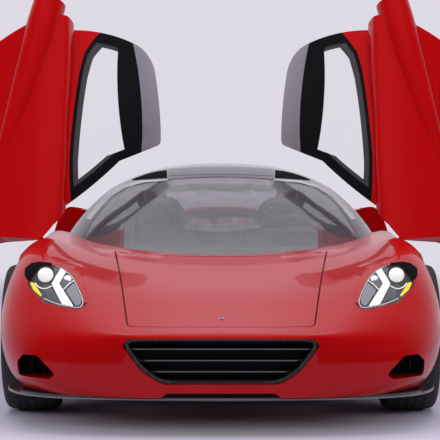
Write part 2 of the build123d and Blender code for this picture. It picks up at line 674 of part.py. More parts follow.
def road_wheel(wheel, axle):
    """Tyre, and rim with hub, spokes and brake disc, for both sides of an axle."""
    w, rim, radius = wheel.width / 2, wheel.rim, wheel.radius
    centre = (wheel.x, wheel.y, radius)
    across = Plane(origin=centre, x_dir=(1, 0, 0), z_dir=(0, -1, 0))
    face = Plane(origin=centre, x_dir=(0, 1, 0), z_dir=(1, 0, 0))
    tread = [(rim + 0.1, w - 14), (rim + 12, w - 12), (rim + 45, w), (radius - 24, w - 4),
             (radius - 7, w - 22), (radius, w - 46)]
    barrel = [(-w + 5, rim + 8), (-w + 11.5, rim + 8), (-w + 11.5, rim - 0.1), (w - 11.5, rim - 0.1),
              (w - 11.5, rim + 8), (w - 5, rim + 8), (w - 5, rim - 6), (w - 30, rim - 16),
              (-w + 30, rim - 16), (-w + 5, rim - 6)]
    with BuildPart() as tyre:
        with BuildSketch(across):
            with BuildLine():
                Polyline(*[(side, r) for r, side in tread],
                         *[(-side, r) for r, side in reversed(tread)], close=True)
            make_face()
        revolve(axis=Axis(centre, (1, 0, 0)))
    with BuildPart() as rim_part:
        with BuildSketch(across):
            with BuildLine():
                Polyline(*barrel, close=True)
            make_face()
        revolve(axis=Axis(centre, (1, 0, 0)))
        with BuildSketch(face.offset(w - 36)):
            Circle(66)
            with PolarLocations(0, 5):
                for side in (1, -1):
                    with BuildLine():
                        Polyline((40, side * 22), (64, side * 46), (rim - 14, side * 74),
                                 (rim - 14, side * 44), close=True)
                    make_face()
        extrude(amount=24)
        with BuildSketch(face.offset(w - 62)):
            Circle(70)
        extrude(amount=40)
        with BuildSketch(face.offset(w - 84)):
            Circle(DISC_RADIUS)
        extrude(amount=DISC_WALL)
        with BuildSketch(face.offset(w - 84)):
            Circle(SPINDLE_RADIUS + 0.05)
        extrude(amount=50, mode=Mode.SUBTRACT)
    save_pair(tyre, axle, "tyre")
    save_pair(rim_part, axle, "rim")


def upright(wheel):
    """Hub carrier of a left wheel with its spindle and a caliper over the disc."""
    face, y, z = hub_face(wheel), wheel.y, wheel.radius
    with BuildPart() as carrier:
        add(box((face - 30, face + 42), (y + 118, y + 182), (z - 62, z + 62)))
        cut(box((face - 7, face + 32), (y + 100, y + DISC_RADIUS + 8), (z - 80, z + 80)))
        add(box((face - 62, face - 7), (y - 34, y + 34), (z - 112, z + 118)))
        add(rod((face - 20, y, z), (face + 44, y, z), SPINDLE_RADIUS))
        add(box((face - 30, face - 7), (y, y + 140), (z - 30, z + 30)))
    return carrier.part


def wishbone(x_in, x_out, y, z, spread):
    """Flat A-arm from two feet on the tub to its outer end."""
    outline = [Corner(x_out + 20, y - 20, 10), Corner(x_out + 20, y + 20, 10), Corner(x_out - 60, y + 34),
               Corner(x_in, y + spread), Corner(x_in, y + spread - 60), Corner(x_out - 100, y, 15),
               Corner(x_in, y - spread + 60), Corner(x_in, y - spread), Corner(x_out - 60, y - 34)]
    return plan_prism(outline, 0, (z, z + 20))


def running_gear():
    """Wheels, steered knuckles, rear uprights and wishbones."""
    road_wheel(FRONT, "front")
    road_wheel(REAR, "rear")
    face, x, y, z = hub_face(FRONT), FRONT.x, FRONT.y, FRONT.radius
    lower_z, upper_z = z - 142, z + 132
    with BuildPart() as knuckle:
        add(upright(FRONT))
        add(box((face - 50, x + 16), (y - 20, y + 20), (z - 117, z - 90)))
        add(box((face - 50, x + 16), (y - 20, y + 20), (z + 92, z + 118)))
        cut(rod((x, y, z - 130), (x, y, z - 96), KINGPIN_RADIUS + BORE_GAP))
        cut(rod((x, y, z + 98), (x, y, z + 130), KINGPIN_RADIUS + BORE_GAP))
    save_pair(knuckle, "front", "knuckle")
    with BuildPart() as front_arms:
        add(wishbone(FRONT.well_x, x, y, lower_z, 150))
        add(wishbone(FRONT.well_x, x, y, upper_z, 130))
        add(rod((x, y, lower_z), (x, y, z - 97), KINGPIN_RADIUS))
        add(rod((x, y, z + 99), (x, y, upper_z + 10), KINGPIN_RADIUS))
        both_sides()
    save(front_arms, "front_wishbones")
    with BuildPart() as rear_carriers:
        add(upright(REAR))
        both_sides()
    save(rear_carriers, "rear_uprights")
    with BuildPart() as rear_arms:
        for rise in (-105, 85):
            add(wishbone(REAR.well_x, hub_face(REAR) - 82.6, REAR.y, REAR.radius + rise, 120))
        both_sides()
    save(rear_arms, "rear_wishbones")


# ---------------------------------------------------------------- doors
def doors(body, canopy, pane, knuckle):
    """Both doors: painted skin with its blade, black window frame, glass, roof panel and inner pad."""
    belt = side_prism(DOOR_BELT, 0, (200, 1300))
    shell_wall = canopy_loft(FRAME_WALL)
    roof_wall = canopy_loft(LID_WALL)
    with BuildPart() as body_side:
        add(body)
        keep(box((-1300, 1300), (-700, 800), (SILL_TOP_Z, 900)))
        cut(box((-DOOR_INNER_X, DOOR_INNER_X), (-700, 800), (SILL_TOP_Z - 10, 910)))
    with BuildPart() as window:
        add(side_prism(DOOR_WINDOW, 0, (400, 1300)))
        keep(door_volume(-DOOR_FRAME))
    with BuildPart() as window_inner:
        add(side_prism(DOOR_WINDOW, -SEAT_GAP, (400, 1300)))
        keep(door_volume(-DOOR_FRAME - SEAT_GAP))
    for side, sign in (("left", 1), ("right", -1)):
        own = (lambda shape: shape) if sign > 0 else mirrored
        volume, above_belt = own(door_volume()), own(belt)
        with BuildPart() as skin:
            add(canopy)
            cut(shell_wall)
            cut(above_belt)
            add(body_side.part)
            keep(volume)
            add(own(ridge_loft()))
            add(own(knuckle))
        with BuildPart() as frame:
            add(canopy)
            cut(shell_wall)
            keep(volume)
            keep(own(side_prism(DOOR_BELT, -SEAT_GAP, (200, 1300))))
            keep(own(box((DOOR_ROOF_X + SEAT_GAP, 1300), (-800, 900), (500, 1400))))
            cut(body_loft(-SEAT_GAP))
            cut(own(window.part))
        with BuildPart() as glass:
            add(pane)
            keep(own(window_inner.part))
        with BuildPart() as roof:
            add(canopy)
            cut(roof_wall)
            keep(volume)
            keep(own(box((200, DOOR_ROOF_X), (-800, 900), (900, 1400))))
        with BuildPart() as trim:
            add(own(side_prism(DOOR_PAD, 0, (752, DOOR_INNER_X))))
            add(own(box((715, 760), (-250, 350), (500, 560))))
        hinge = Axis((sign * HINGE_LOW.X, HINGE_LOW.Y, HINGE_LOW.Z),
                     (sign * HINGE_DIR.X, HINGE_DIR.Y, HINGE_DIR.Z))
        pieces = (("", skin), ("_frame", frame), ("_glass", glass), ("_roof", roof), ("_trim", trim))
        for suffix, piece in pieces:
            with BuildPart() as opened:
                add(piece.part.rotate(hinge, -sign * DOOR_OPEN_DEG))
            save(opened, f"door_{side}{suffix}")


def main():
    """Builds the car and writes one STEP file for each piece."""
    os.makedirs("parts", exist_ok=True)
    body, canopy, canopy_seat = body_loft(), canopy_loft(), canopy_loft(-SEAT_GAP)
    cabin = cabin_space()
    knuckle, hinge_room = door_knuckle()
    with BuildPart() as openings:
        add(door_volume(PANEL_GAP))
        both_sides()
    with BuildPart() as pane:
        add(canopy_loft(GLASS_INSET))
        cut(canopy_loft(GLASS_INSET + GLASS_WALL))
    with BuildPart() as hinge_rooms:
        add(hinge_room)
        both_sides()
    front_end(body, canopy_seat, cabin, openings.part, hinge_rooms.part)
    lugs = rear_end(body, canopy, canopy_seat, cabin, openings.part, pane.part)
    cabin_shell(body, canopy, canopy_seat, cabin, openings.part, pane.part, lugs)
    cabin_pieces()
    running_gear()
    doors(body, canopy, pane.part, knuckle)


if __name__ == "__main__":
    main()
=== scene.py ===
"""Finishes, fitted trim and studio for a two-seat sports car with butterfly doors.

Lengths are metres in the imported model's own frame: +Z up, the car faces -Y and its left side is +X.
"""

import json
import logging
import math
from collections.abc import Callable, Sequence
from dataclasses import dataclass
from enum import Enum

import bmesh
import bpy
from mathutils import Matrix, Vector
from mathutils.bvhtree import BVHTree


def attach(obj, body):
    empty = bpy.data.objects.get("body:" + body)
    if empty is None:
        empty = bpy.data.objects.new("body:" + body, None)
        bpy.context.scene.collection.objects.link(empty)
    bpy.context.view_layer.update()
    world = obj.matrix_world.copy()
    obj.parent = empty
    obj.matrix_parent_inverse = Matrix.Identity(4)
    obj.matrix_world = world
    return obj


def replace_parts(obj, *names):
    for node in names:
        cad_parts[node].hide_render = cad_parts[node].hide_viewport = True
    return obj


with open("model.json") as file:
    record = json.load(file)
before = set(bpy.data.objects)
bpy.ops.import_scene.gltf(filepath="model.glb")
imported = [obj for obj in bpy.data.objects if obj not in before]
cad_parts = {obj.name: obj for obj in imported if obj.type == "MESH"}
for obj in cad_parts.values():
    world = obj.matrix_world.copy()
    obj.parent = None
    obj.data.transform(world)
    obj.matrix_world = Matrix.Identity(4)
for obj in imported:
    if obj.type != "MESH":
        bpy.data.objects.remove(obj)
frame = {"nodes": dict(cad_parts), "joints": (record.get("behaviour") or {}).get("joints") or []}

LOG = logging.getLogger("sports_car")
Point = tuple[float, float, float]
Pair = tuple[float, float]
Line = tuple[Pair, ...]
Route = tuple[Point, ...]
Colour = tuple[float, float, float]
Socket = bpy.types.NodeSocket
Piece = bpy.types.Object


# ---------- node trees
class Tree:
    """Node tree under construction."""

    def __init__(self, tree: bpy.types.NodeTree) -> None:
        """Takes up a tree."""
        self.tree = tree

    def node(self, kind: str, *values: object, **named: object) -> bpy.types.Node:
        """Adds a node.

        Args:
            kind: Kind of node.
            values: Its first inputs in order, each a socket to link or a plain value.
            named: Its settings in lower case, then other inputs by name, with _ for a space.

        Returns:
            The node.
        """
        made = self.tree.nodes.new(kind)
        for name, value in named.items():
            if name.islower():
                setattr(made, name, value)
        inputs = {name.replace("_", " "): value for name, value in named.items() if not name.islower()}
        for key, value in (*enumerate(values), *inputs.items()):
            if isinstance(value, Socket):
                self.tree.links.new(value, made.inputs[key])
            else:
                made.inputs[key].default_value = value
        return made

    def maths(self, operation: str, *values: object, use_clamp: bool = False) -> Socket:
        """Result of a maths node."""
        return self.node("ShaderNodeMath", *values, operation=operation, use_clamp=use_clamp).outputs[0]

    def vector(self, operation: str, *values: object, **named: object) -> Socket:
        """Result of a vector maths node."""
        return self.node("ShaderNodeVectorMath", *values, operation=operation, **named).outputs[0]

    def ramp(self, value: Socket, source: Pair, target: Pair = (0.0, 1.0)) -> Socket:
        """Smooth ramp between two levels.

        Args:
            value: The socket that it reads.
            source: Values at its two ends.
            target: What it gives there.

        Returns:
            The socket of the result.
        """
        levels = dict(zip(("From_Min", "From_Max", "To_Min", "To_Max"), (*source, *target)))
        made = self.node("ShaderNodeMapRange", interpolation_type="SMOOTHSTEP", Value=value, **levels)
        return made.outputs["Result"]


# ---------- finishes
class Grain(Enum):
    """Small-scale pattern of a finish."""

    FLAKE = "flake"
    WEAVE = "weave"
    LEATHER = "leather"
    CAST = "cast"
    BRUSHED = "brushed"
    CLOUD = "cloud"


BUMP_HEIGHT = 0.001
COAT_ROUGHNESS = 0.03
WEAVE_TURN = (0.6, 0.4, math.radians(45))
BRUSH_STRETCH = (1.0, 12.0, 12.0)
NOISE_DETAIL = {Grain.LEATHER: 2.0, Grain.CAST: 6.0, Grain.BRUSHED: 3.0, Grain.CLOUD: 3.0}


@dataclass(frozen=True)
class Finish:
    """One surface finish, with its second shade mixed in by the grain.

    see_through is the share of light that passes as through thick glass, alpha how much of a thin pane shows,
    index its refraction, and scale the size of the grain, larger for a finer one.
    """

    name: str
    colour: Colour
    shade: Colour
    scale: float
    grain: Grain = Grain.CLOUD
    rough: float = 0.4
    metal: float = 0.0
    specular: float = 0.5
    coat: float = 0.0
    bump: float = 0.0
    see_through: float = 0.0
    alpha: float = 1.0
    index: float = 1.45
    glow: float = 0.0
    sheen: float = 0.0

    def material(self) -> bpy.types.Material:
        """The Blender material, made at its first use.

        Returns:
            The material with this finish's name.
        """
        found = bpy.data.materials.get(self.name)
        if found is not None:
            return found
        made = bpy.data.materials.new(self.name)
        made.use_nodes = True
        made.diffuse_color = (*self.colour, 1.0)
        tree, shader = Tree(made.node_tree), made.node_tree.nodes["Principled BSDF"]
        values = {
            "Roughness": self.rough,
            "Metallic": self.metal,
            "Specular IOR Level": self.specular,
            "IOR": self.index,
            "Alpha": self.alpha,
            "Coat Weight": self.coat,
            "Coat Roughness": COAT_ROUGHNESS,
            "Transmission Weight": self.see_through,
            "Sheen Weight": self.sheen,
            "Emission Strength": self.glow,
        }
        for socket, value in values.items():
            shader.inputs[socket].default_value = value
        shader.inputs["Emission Color"].default_value = (*self.colour, 1.0)
        pattern = self._pattern(tree)
        mix = tree.node("ShaderNodeMix", data_type="RGBA", Factor=pattern, A=(*self.colour, 1.0),
                        B=(*self.shade, 1.0))
        made.node_tree.links.new(mix.outputs["Result"], shader.inputs["Base Color"])
        if self.bump:
            bump = tree.node("ShaderNodeBump", Strength=self.bump, Distance=BUMP_HEIGHT, Height=pattern)
            made.node_tree.links.new(bump.outputs["Normal"], shader.inputs["Normal"])
        return made

    def _pattern(self, tree: Tree) -> Socket:
        """Builds the grain's texture nodes.

        Args:
            tree: Node tree of the material.

        Returns:
            The socket that carries the pattern from 0 to 1.
        """
        place = tree.node("ShaderNodeTexCoord").outputs["Object"]
        if self.grain is Grain.WEAVE:
            place = tree.node("ShaderNodeMapping", Vector=place, Rotation=WEAVE_TURN).outputs["Vector"]
            return tree.node("ShaderNodeTexChecker", Vector=place, Scale=self.scale).outputs["Fac"]
        if self.grain is Grain.FLAKE:
            return tree.node("ShaderNodeTexVoronoi", Vector=place, Scale=self.scale).outputs["Distance"]
        if self.grain is Grain.BRUSHED:
            place = tree.node("ShaderNodeMapping", Vector=place, Scale=BRUSH_STRETCH).outputs["Vector"]
        return tree.node("ShaderNodeTexNoise", Vector=place, Scale=self.scale,
                         Detail=NOISE_DETAIL[self.grain]).outputs["Fac"]


PAINT = Finish("red_paint_gloss", (0.40, 0.0010, 0.0022), (0.37, 0.0008, 0.0018), 900, Grain.FLAKE,
               rough=0.30, specular=0.06, coat=0.50)
ROOF_BLACK = Finish("roof_black_gloss", (0.012, 0.012, 0.014), (0.02, 0.02, 0.023), 12, rough=0.22, coat=1.0)
CARBON = Finish("carbon_twill", (0.018, 0.018, 0.021), (0.06, 0.06, 0.066), 170, Grain.WEAVE, rough=0.3,
                coat=0.8)
TRIM_BLACK = Finish("trim_black_satin", (0.02, 0.02, 0.022), (0.034, 0.034, 0.037), 160, Grain.CAST,
                    rough=0.55, bump=0.1)
MESH_BLACK = Finish("mesh_black", (0.005, 0.005, 0.006), (0.010, 0.010, 0.012), 60, rough=0.5, specular=0.2)
GRILLE_BLACK = Finish("grille_black", (0.006, 0.006, 0.007), (0.014, 0.014, 0.016), 170, Grain.WEAVE,
                      rough=0.4, specular=0.25)
FRAME_BLACK = Finish("door_frame_black", (0.004, 0.004, 0.005), (0.008, 0.008, 0.009), 30, rough=0.75,
                     specular=0.04)
CLEAR = Finish("screen_glass", (0.86, 0.84, 0.92), (0.84, 0.82, 0.90), 3, rough=0.0, see_through=0.93,
               alpha=0.66, index=1.9, coat=1.0)
SIDE_GLASS = Finish("side_glass", (0.60, 0.58, 0.64), (0.57, 0.56, 0.62), 3, rough=0.02, alpha=0.04,
                    index=1.45)
ROOF_GLASS = Finish("roof_glass_grey", (0.20, 0.18, 0.22), (0.17, 0.155, 0.19), 5, rough=0.16, coat=1.0,
                    alpha=0.97)
LAMP_COVER = Finish("lamp_cover", (0.30, 0.30, 0.33), (0.28, 0.28, 0.31), 5, rough=0.02, alpha=0.10)
LAMP_BLACK = Finish("lamp_black", (0.008, 0.008, 0.010), (0.014, 0.014, 0.017), 40, rough=0.3, specular=0.25)
LAMP_GREY = Finish("lamp_grey", (0.07, 0.07, 0.08), (0.10, 0.10, 0.115), 30, Grain.BRUSHED, rough=0.35,
                   specular=0.3)
LAMP_SMOKE = Finish("lamp_smoke_panel", (0.20, 0.20, 0.23), (0.26, 0.26, 0.29), 60, Grain.BRUSHED, rough=0.35)
LAMP_PALE = Finish("lamp_pale_edge", (0.62, 0.61, 0.65), (0.70, 0.69, 0.73), 40, rough=0.3, glow=0.28)
LAMP_WHITE = Finish("lamp_white", (0.86, 0.86, 0.86), (0.92, 0.92, 0.92), 20, rough=0.3, glow=0.42)
AMBER = Finish("indicator_amber", (0.95, 0.72, 0.0), (0.9, 0.62, 0.0), 60, rough=0.25, glow=0.35)
RED_LENS = Finish("rear_red_lens", (0.42, 0.004, 0.006), (0.5, 0.01, 0.012), 60, rough=0.12, coat=1.0,
                  glow=0.12)
# pale band along the screen's sides and top: a painted highlight that stands in for the edge's reflection
PAINTED_SCREEN_HIGHLIGHT = Finish("screen_edge_pale", (0.52, 0.50, 0.56), (0.46, 0.44, 0.50), 20, rough=0.3, coat=0.3)
HEADER_GREY = Finish("header_grey", (0.115, 0.105, 0.13), (0.10, 0.09, 0.115), 14, rough=0.35, coat=0.4)
# pale headliner cloth behind the top of the screen, made light and lilac-grey so that it also stands in for
# the backdrop's reflection in the glass: partly a painted reflection
HEADER_CLOTH_AND_REFLECTION = Finish("header_cloth_pale", (0.50, 0.44, 0.52), (0.44, 0.39, 0.46), 600, Grain.WEAVE,
                      rough=0.85, bump=0.2)
CHROME = Finish("bright_metal", (0.72, 0.72, 0.75), (0.66, 0.66, 0.7), 25, Grain.BRUSHED, rough=0.16,
                metal=1.0)
LIP_SILVER = Finish("lip_silver", (0.26, 0.25, 0.28), (0.22, 0.21, 0.24), 25, Grain.BRUSHED, rough=0.4,
                    metal=0.4)
RIM = Finish("rim_anthracite", (0.10, 0.10, 0.11), (0.14, 0.14, 0.15), 600, Grain.FLAKE, rough=0.3, metal=0.8,
             coat=0.4)
ALLOY = Finish("alloy_satin", (0.52, 0.52, 0.54), (0.46, 0.46, 0.48), 90, Grain.CAST, rough=0.4, metal=1.0,
               bump=0.05)
STEEL = Finish("dark_steel", (0.16, 0.16, 0.165), (0.22, 0.22, 0.225), 40, Grain.BRUSHED, rough=0.38,
               metal=1.0)
CAST = Finish("engine_cast", (0.2, 0.2, 0.205), (0.28, 0.28, 0.285), 70, Grain.CAST, rough=0.6, metal=0.7,
              bump=0.3)
RUBBER = Finish("tyre_rubber", (0.006, 0.006, 0.006), (0.012, 0.012, 0.012), 120, Grain.CAST, rough=0.8,
                specular=0.2, bump=0.15)
LEATHER = Finish("black_leather", (0.035, 0.033, 0.036), (0.055, 0.052, 0.056), 420, Grain.LEATHER,
                 rough=0.52, bump=0.35, sheen=0.1)
THREAD = Finish("red_thread", (0.4, 0.01, 0.012), (0.3, 0.008, 0.01), 300, rough=0.7)
BELT = Finish("belt_webbing", (0.03, 0.03, 0.033), (0.05, 0.05, 0.055), 700, Grain.WEAVE, rough=0.7, bump=0.3)
CARPET = Finish("floor_carpet", (0.03, 0.029, 0.031), (0.055, 0.052, 0.056), 500, Grain.CAST, rough=0.95,
                bump=0.6, sheen=0.3)
RED_GLOW = Finish("rear_ring_glow", (0.85, 0.03, 0.03), (0.7, 0.02, 0.02), 60, rough=0.3, glow=0.8)
PLENUM_RED = Finish("plenum_red_crackle", (0.52, 0.02, 0.03), (0.4, 0.01, 0.015), 260, Grain.CAST, rough=0.5,
                    bump=0.6)
SCREEN_DARK = Finish("display_dark", (0.01, 0.011, 0.014), (0.02, 0.022, 0.028), 8, rough=0.08, coat=1.0)

NODES_BY_FINISH: tuple[tuple[Finish, str], ...] = (
    (PAINT, "front_clam rear_clam front_lid engine_lid door_left door_right"),
    (CARBON, "tub splitter diffuser"),
    (ROOF_BLACK, "roof_frame"),
    (CLEAR, "windshield rear_glass"),
    (SIDE_GLASS, "door_left_glass door_right_glass"),
    (FRAME_BLACK, "door_left_frame door_right_frame"),
    (ROOF_GLASS, "door_left_roof door_right_roof"),
    (TRIM_BLACK, "door_left_trim door_right_trim dashboard centre_console"),
    (GRILLE_BLACK, "grille"),
    (MESH_BLACK, "lower_intake side_duct_meshes rear_grille"),
    (LAMP_BLACK, "headlamp_left headlamp_right"),
    (LAMP_COVER, "headlamp_covers"),
    (RED_LENS, "tail_lamps"),
    (CHROME, "exhaust_tips"),
    (LEATHER, "seat_left seat_right steering_wheel"),
    (CAST, "engine"),
    (PLENUM_RED, "intake_plenums"),
    (STEEL, "front_wishbones rear_wishbones"),
    (ALLOY, "rear_uprights front_left_knuckle front_right_knuckle"),
)


def dress_nodes() -> None:
    """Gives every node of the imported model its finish."""
    chosen = {name: finish for finish, names in NODES_BY_FINISH for name in names.split()}
    for name, node in frame["nodes"].items():
        finish = chosen.get(name, RIM if name.endswith("_rim") else RUBBER)
        node.data.materials.clear()
        node.data.materials.append(finish.material())
        for face in node.data.polygons:
            face.material_index = 0
        LOG.info("dressed %s in %s", name, finish.name)


# ---------- shapes
MERGE_DISTANCE = 1e-5
BEVEL_SEGMENTS = 2
BEVEL_ANGLE_DEG = 40
PAD_CREASE_DEG = 60.0
END_SPAN = 1.0001       # a little over one span, so that the end of a line still falls in its last one


def linked(name: str, data: bpy.types.ID) -> Piece:
    """New object of the scene that shows a mesh, a camera or a lamp."""
    made = bpy.data.objects.new(name, data)
    bpy.context.scene.collection.objects.link(made)
    return made


def span_at(share: float, count: int) -> tuple[int, float]:
    """Span of a line of so many points at a share of its length, and the place in that span."""
    place = min(share * (count - 1), count - END_SPAN)
    return int(place), place - int(place)


class Form:
    """Mesh under construction, in metres in the car's frame."""

    LEAST_EDGE = 0.1 * MERGE_DISTANCE
    SEAM_DEPTH = 0.16         # share of a pad's thickness that a sewn channel takes
    SEAM_REACH = 0.012        # half-width of a channel, as a share of the pad's path
    PAD_WAIST = 0.03          # share by which a pad's sides are drawn in half-way
    PAD_CROWN = 0.25          # how much rounder a pad is across its thickness than across its width
    PAD_END = (5, 0.42)       # powers of the curve that closes a pad's ends
    PAD_END_WIDTH = 0.04
    PAD_END_DEPTH = 0.02

    def __init__(self) -> None:
        """Starts an empty shape."""
        self.shape = bmesh.new()

    def skin(self, rings: list[list[Vector]], looped: bool = False, capped: bool = True) -> "Form":
        """Joins neighbouring rings of points by quads.

        Args:
            rings: Rings with the same number of points each.
            looped: Whether the last ring joins the first.
            capped: Whether the two end rings are closed by a face.

        Returns:
            This form.
        """
        made = [[self.shape.verts.new(point) for point in ring] for ring in rings]
        spans = list(zip(made, made[1:])) + ([(made[-1], made[0])] if looped else [])
        for low, high in spans:
            for place in range(len(low)):
                after = (place + 1) % len(low)
                self.shape.faces.new((low[place], low[after], high[after], high[place]))
        if capped and not looped:
            self.shape.faces.new(list(reversed(made[0])))
            self.shape.faces.new(made[-1])
        return self

    def slab(self, outline: list[Vector], back: Vector) -> "Form":
        """Adds a plate with a face at the outline and another moved back."""
        return self.skin([outline, [point + back for point in outline]])

    def box(self, low: Point, high: Point) -> "Form":
        """Adds an upright block between two corners."""
        corners = [(low[0], low[1]), (high[0], low[1]), (high[0], high[1]), (low[0], high[1])]
        return self.skin([[Vector((x, y, z)) for x, y in corners] for z in (low[2], high[2])])

    def lathe(self, profile: Sequence[Pair], centre: Point, axis: Vector, steps: int = 48) -> "Form":
        """Turns a closed outline about an axis.

        Args:
            profile: Corners as (radius, distance along the axis).
            centre: A point on the axis, from which distances are counted.
            axis: Direction of the axis.
            steps: Number of facets round the axis.

        Returns:
            This form.
        """
        turn = Vector((0, 0, 1)).rotation_difference(axis).to_matrix()
        rings = []
        for step in range(steps):
            angle = math.tau * step / steps
            ring = [turn @ Vector((r * math.cos(angle), r * math.sin(angle), h)) for r, h in profile]
            rings.append([point + Vector(centre) for point in ring])
        return self.skin(rings, looped=True)

    def tube(self, path: list[Vector], radius: float, sides: int = 8, looped: bool = False,
             flat: float = 1.0) -> "Form":
        """Adds a round or flattened bar along a path.

        Args:
            path: Points of the bar's centre line.
            radius: Half-width of the section.
            sides: Facets round the section.
            looped: Whether the path closes on itself.
            flat: Height of the section as a share of its width.

        Returns:
            This form.
        """
        rings, count = [], len(path)
        side = None
        for place, point in enumerate(path):
            before = path[place - 1] if looped or place else point
            after = path[(place + 1) % count] if looped or place < count - 1 else point
            ahead = (after - before).normalized()
            if side is None:
                side = ahead.orthogonal().normalized()
            side = (side - ahead * side.dot(ahead)).normalized()
            rise = ahead.cross(side)
            angles = [math.tau * step / sides for step in range(sides)]
            rings.append([point + side * radius * math.cos(a) + rise * radius * flat * math.sin(a)
                          for a in angles])
        return self.skin(rings, looped=looped)

    def pad(self, path: list[Vector], widths: Sequence[float], depth: float, seams: Sequence[float] = (),
            square: float = 0.45, sides: int = 24, steps: int = 36) -> "Form":
        """Adds a padded form whose sections follow a path and close at both ends.

        Args:
            path: Points of the centre line, in a plane across the car's X axis.
            widths: Full width at each point of the path.
            depth: Greatest thickness.
            seams: Places of sewn channels along the path, from 0 to 1.
            square: Power of the section's outline, smaller for squarer pads.
            sides: Points round a section.
            steps: Number of sections.

        Returns:
            This form.
        """
        across = Vector((1, 0, 0))
        fullness, closing = self.PAD_END
        rings = []
        for step in range(steps + 1):
            share = 0.5 - 0.5 * math.cos(math.pi * step / steps)
            from_middle = 2 * share - 1
            point, ahead = self._along(path, share)
            edge = max(0.0, 1 - abs(from_middle) ** fullness) ** closing
            dent = sum(self.SEAM_DEPTH * math.exp(-(((share - seam) / self.SEAM_REACH) ** 2))
                       for seam in seams)
            waist = 1 - self.PAD_WAIST * (1 - from_middle ** 2)
            half_width = 0.5 * self._between(widths, share) * waist * max(edge, self.PAD_END_WIDTH)
            half_depth = 0.5 * depth * max(edge, self.PAD_END_DEPTH) * (1 - dent)
            rise = ahead.cross(across).normalized()
            ring = []
            for side in range(sides):
                angle = math.tau * side / sides
                out, up = math.cos(angle), math.sin(angle)
                out = math.copysign(abs(out) ** square, out)
                up = math.copysign(abs(up) ** (square + self.PAD_CROWN), up)
                ring.append(point + across * half_width * out + rise * half_depth * up)
            rings.append(ring)
        return self.skin(rings)

    @staticmethod
    def _along(path: list[Vector], share: float) -> tuple[Vector, Vector]:
        """Point and direction at a share of a path.

        Args:
            path: Points of the path.
            share: Place along it, from 0 to 1.

        Returns:
            The point and the path's direction there.
        """
        span, t = span_at(share, len(path))
        start, end = path[span], path[span + 1]
        before, after = path[max(span - 1, 0)], path[min(span + 2, len(path) - 1)]
        ahead = (end - before).normalized().lerp((after - start).normalized(), t)
        return start.lerp(end, t), ahead.normalized()

    @staticmethod
    def _between(values: Sequence[float], share: float) -> float:
        """Value at a share of a list, in a straight run between its entries."""
        span, t = span_at(share, len(values))
        return values[span] + (values[span + 1] - values[span]) * t

    def mirrored(self) -> "Form":
        """The same shape on the other side of the car.

        Returns:
            The new form.
        """
        twin = Form()
        twin.shape = self.shape.copy()
        bmesh.ops.scale(twin.shape, vec=(-1, 1, 1), verts=twin.shape.verts)
        return twin

    def turned(self, angle_deg: float, centre: Point, axis: Vector) -> "Form":
        """Turns the shape about a line.

        Args:
            angle_deg: Angle of the turn.
            centre: A point on the line.
            axis: Direction of the line.

        Returns:
            This form.
        """
        place = Vector(centre)
        turn = Matrix.Translation(place) @ Matrix.Rotation(math.radians(angle_deg), 4, axis) \
            @ Matrix.Translation(-place)
        bmesh.ops.transform(self.shape, matrix=turn, verts=self.shape.verts)
        return self

    def made(self, name: str, finish: Finish | None = None, crease_deg: float = 32.0) -> Piece:
        """Closes the form into an object at the origin.

        Args:
            name: Name of the object.
            finish: Its finish, or None for an item that a tree repeats.
            crease_deg: Angle from which an edge stays sharp.

        Returns:
            The object, linked to the scene.
        """
        bmesh.ops.remove_doubles(self.shape, verts=self.shape.verts, dist=MERGE_DISTANCE)
        bmesh.ops.dissolve_degenerate(self.shape, dist=self.LEAST_EDGE, edges=self.shape.edges)
        bmesh.ops.recalc_face_normals(self.shape, faces=self.shape.faces)
        for face in self.shape.faces:
            face.smooth = True
        for edge in self.shape.edges:
            edge.smooth = edge.is_manifold and edge.calc_face_angle(0.0) < math.radians(crease_deg)
        data = bpy.data.meshes.new(name)
        self.shape.to_mesh(data)
        self.shape.free()
        if finish is not None:
            data.materials.append(finish.material())
        return linked(name, data)


def fit(piece: Piece, bevel: float = 0.0, body: str = "chassis") -> Piece:
    """Fixes a finished piece to a body of the car.

    Args:
        piece: The piece.
        bevel: Width of its rounded edges, in metres.
        body: Name of the body that carries it.

    Returns:
        The piece.
    """
    if bevel:
        rounding = piece.modifiers.new("rounded_edges", "BEVEL")
        rounding.width, rounding.segments, rounding.limit_method = bevel, BEVEL_SEGMENTS, "ANGLE"
        rounding.angle_limit = math.radians(BEVEL_ANGLE_DEG)
    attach(piece, body)
    LOG.info("fitted %s on %s", piece.name, body)
    return piece


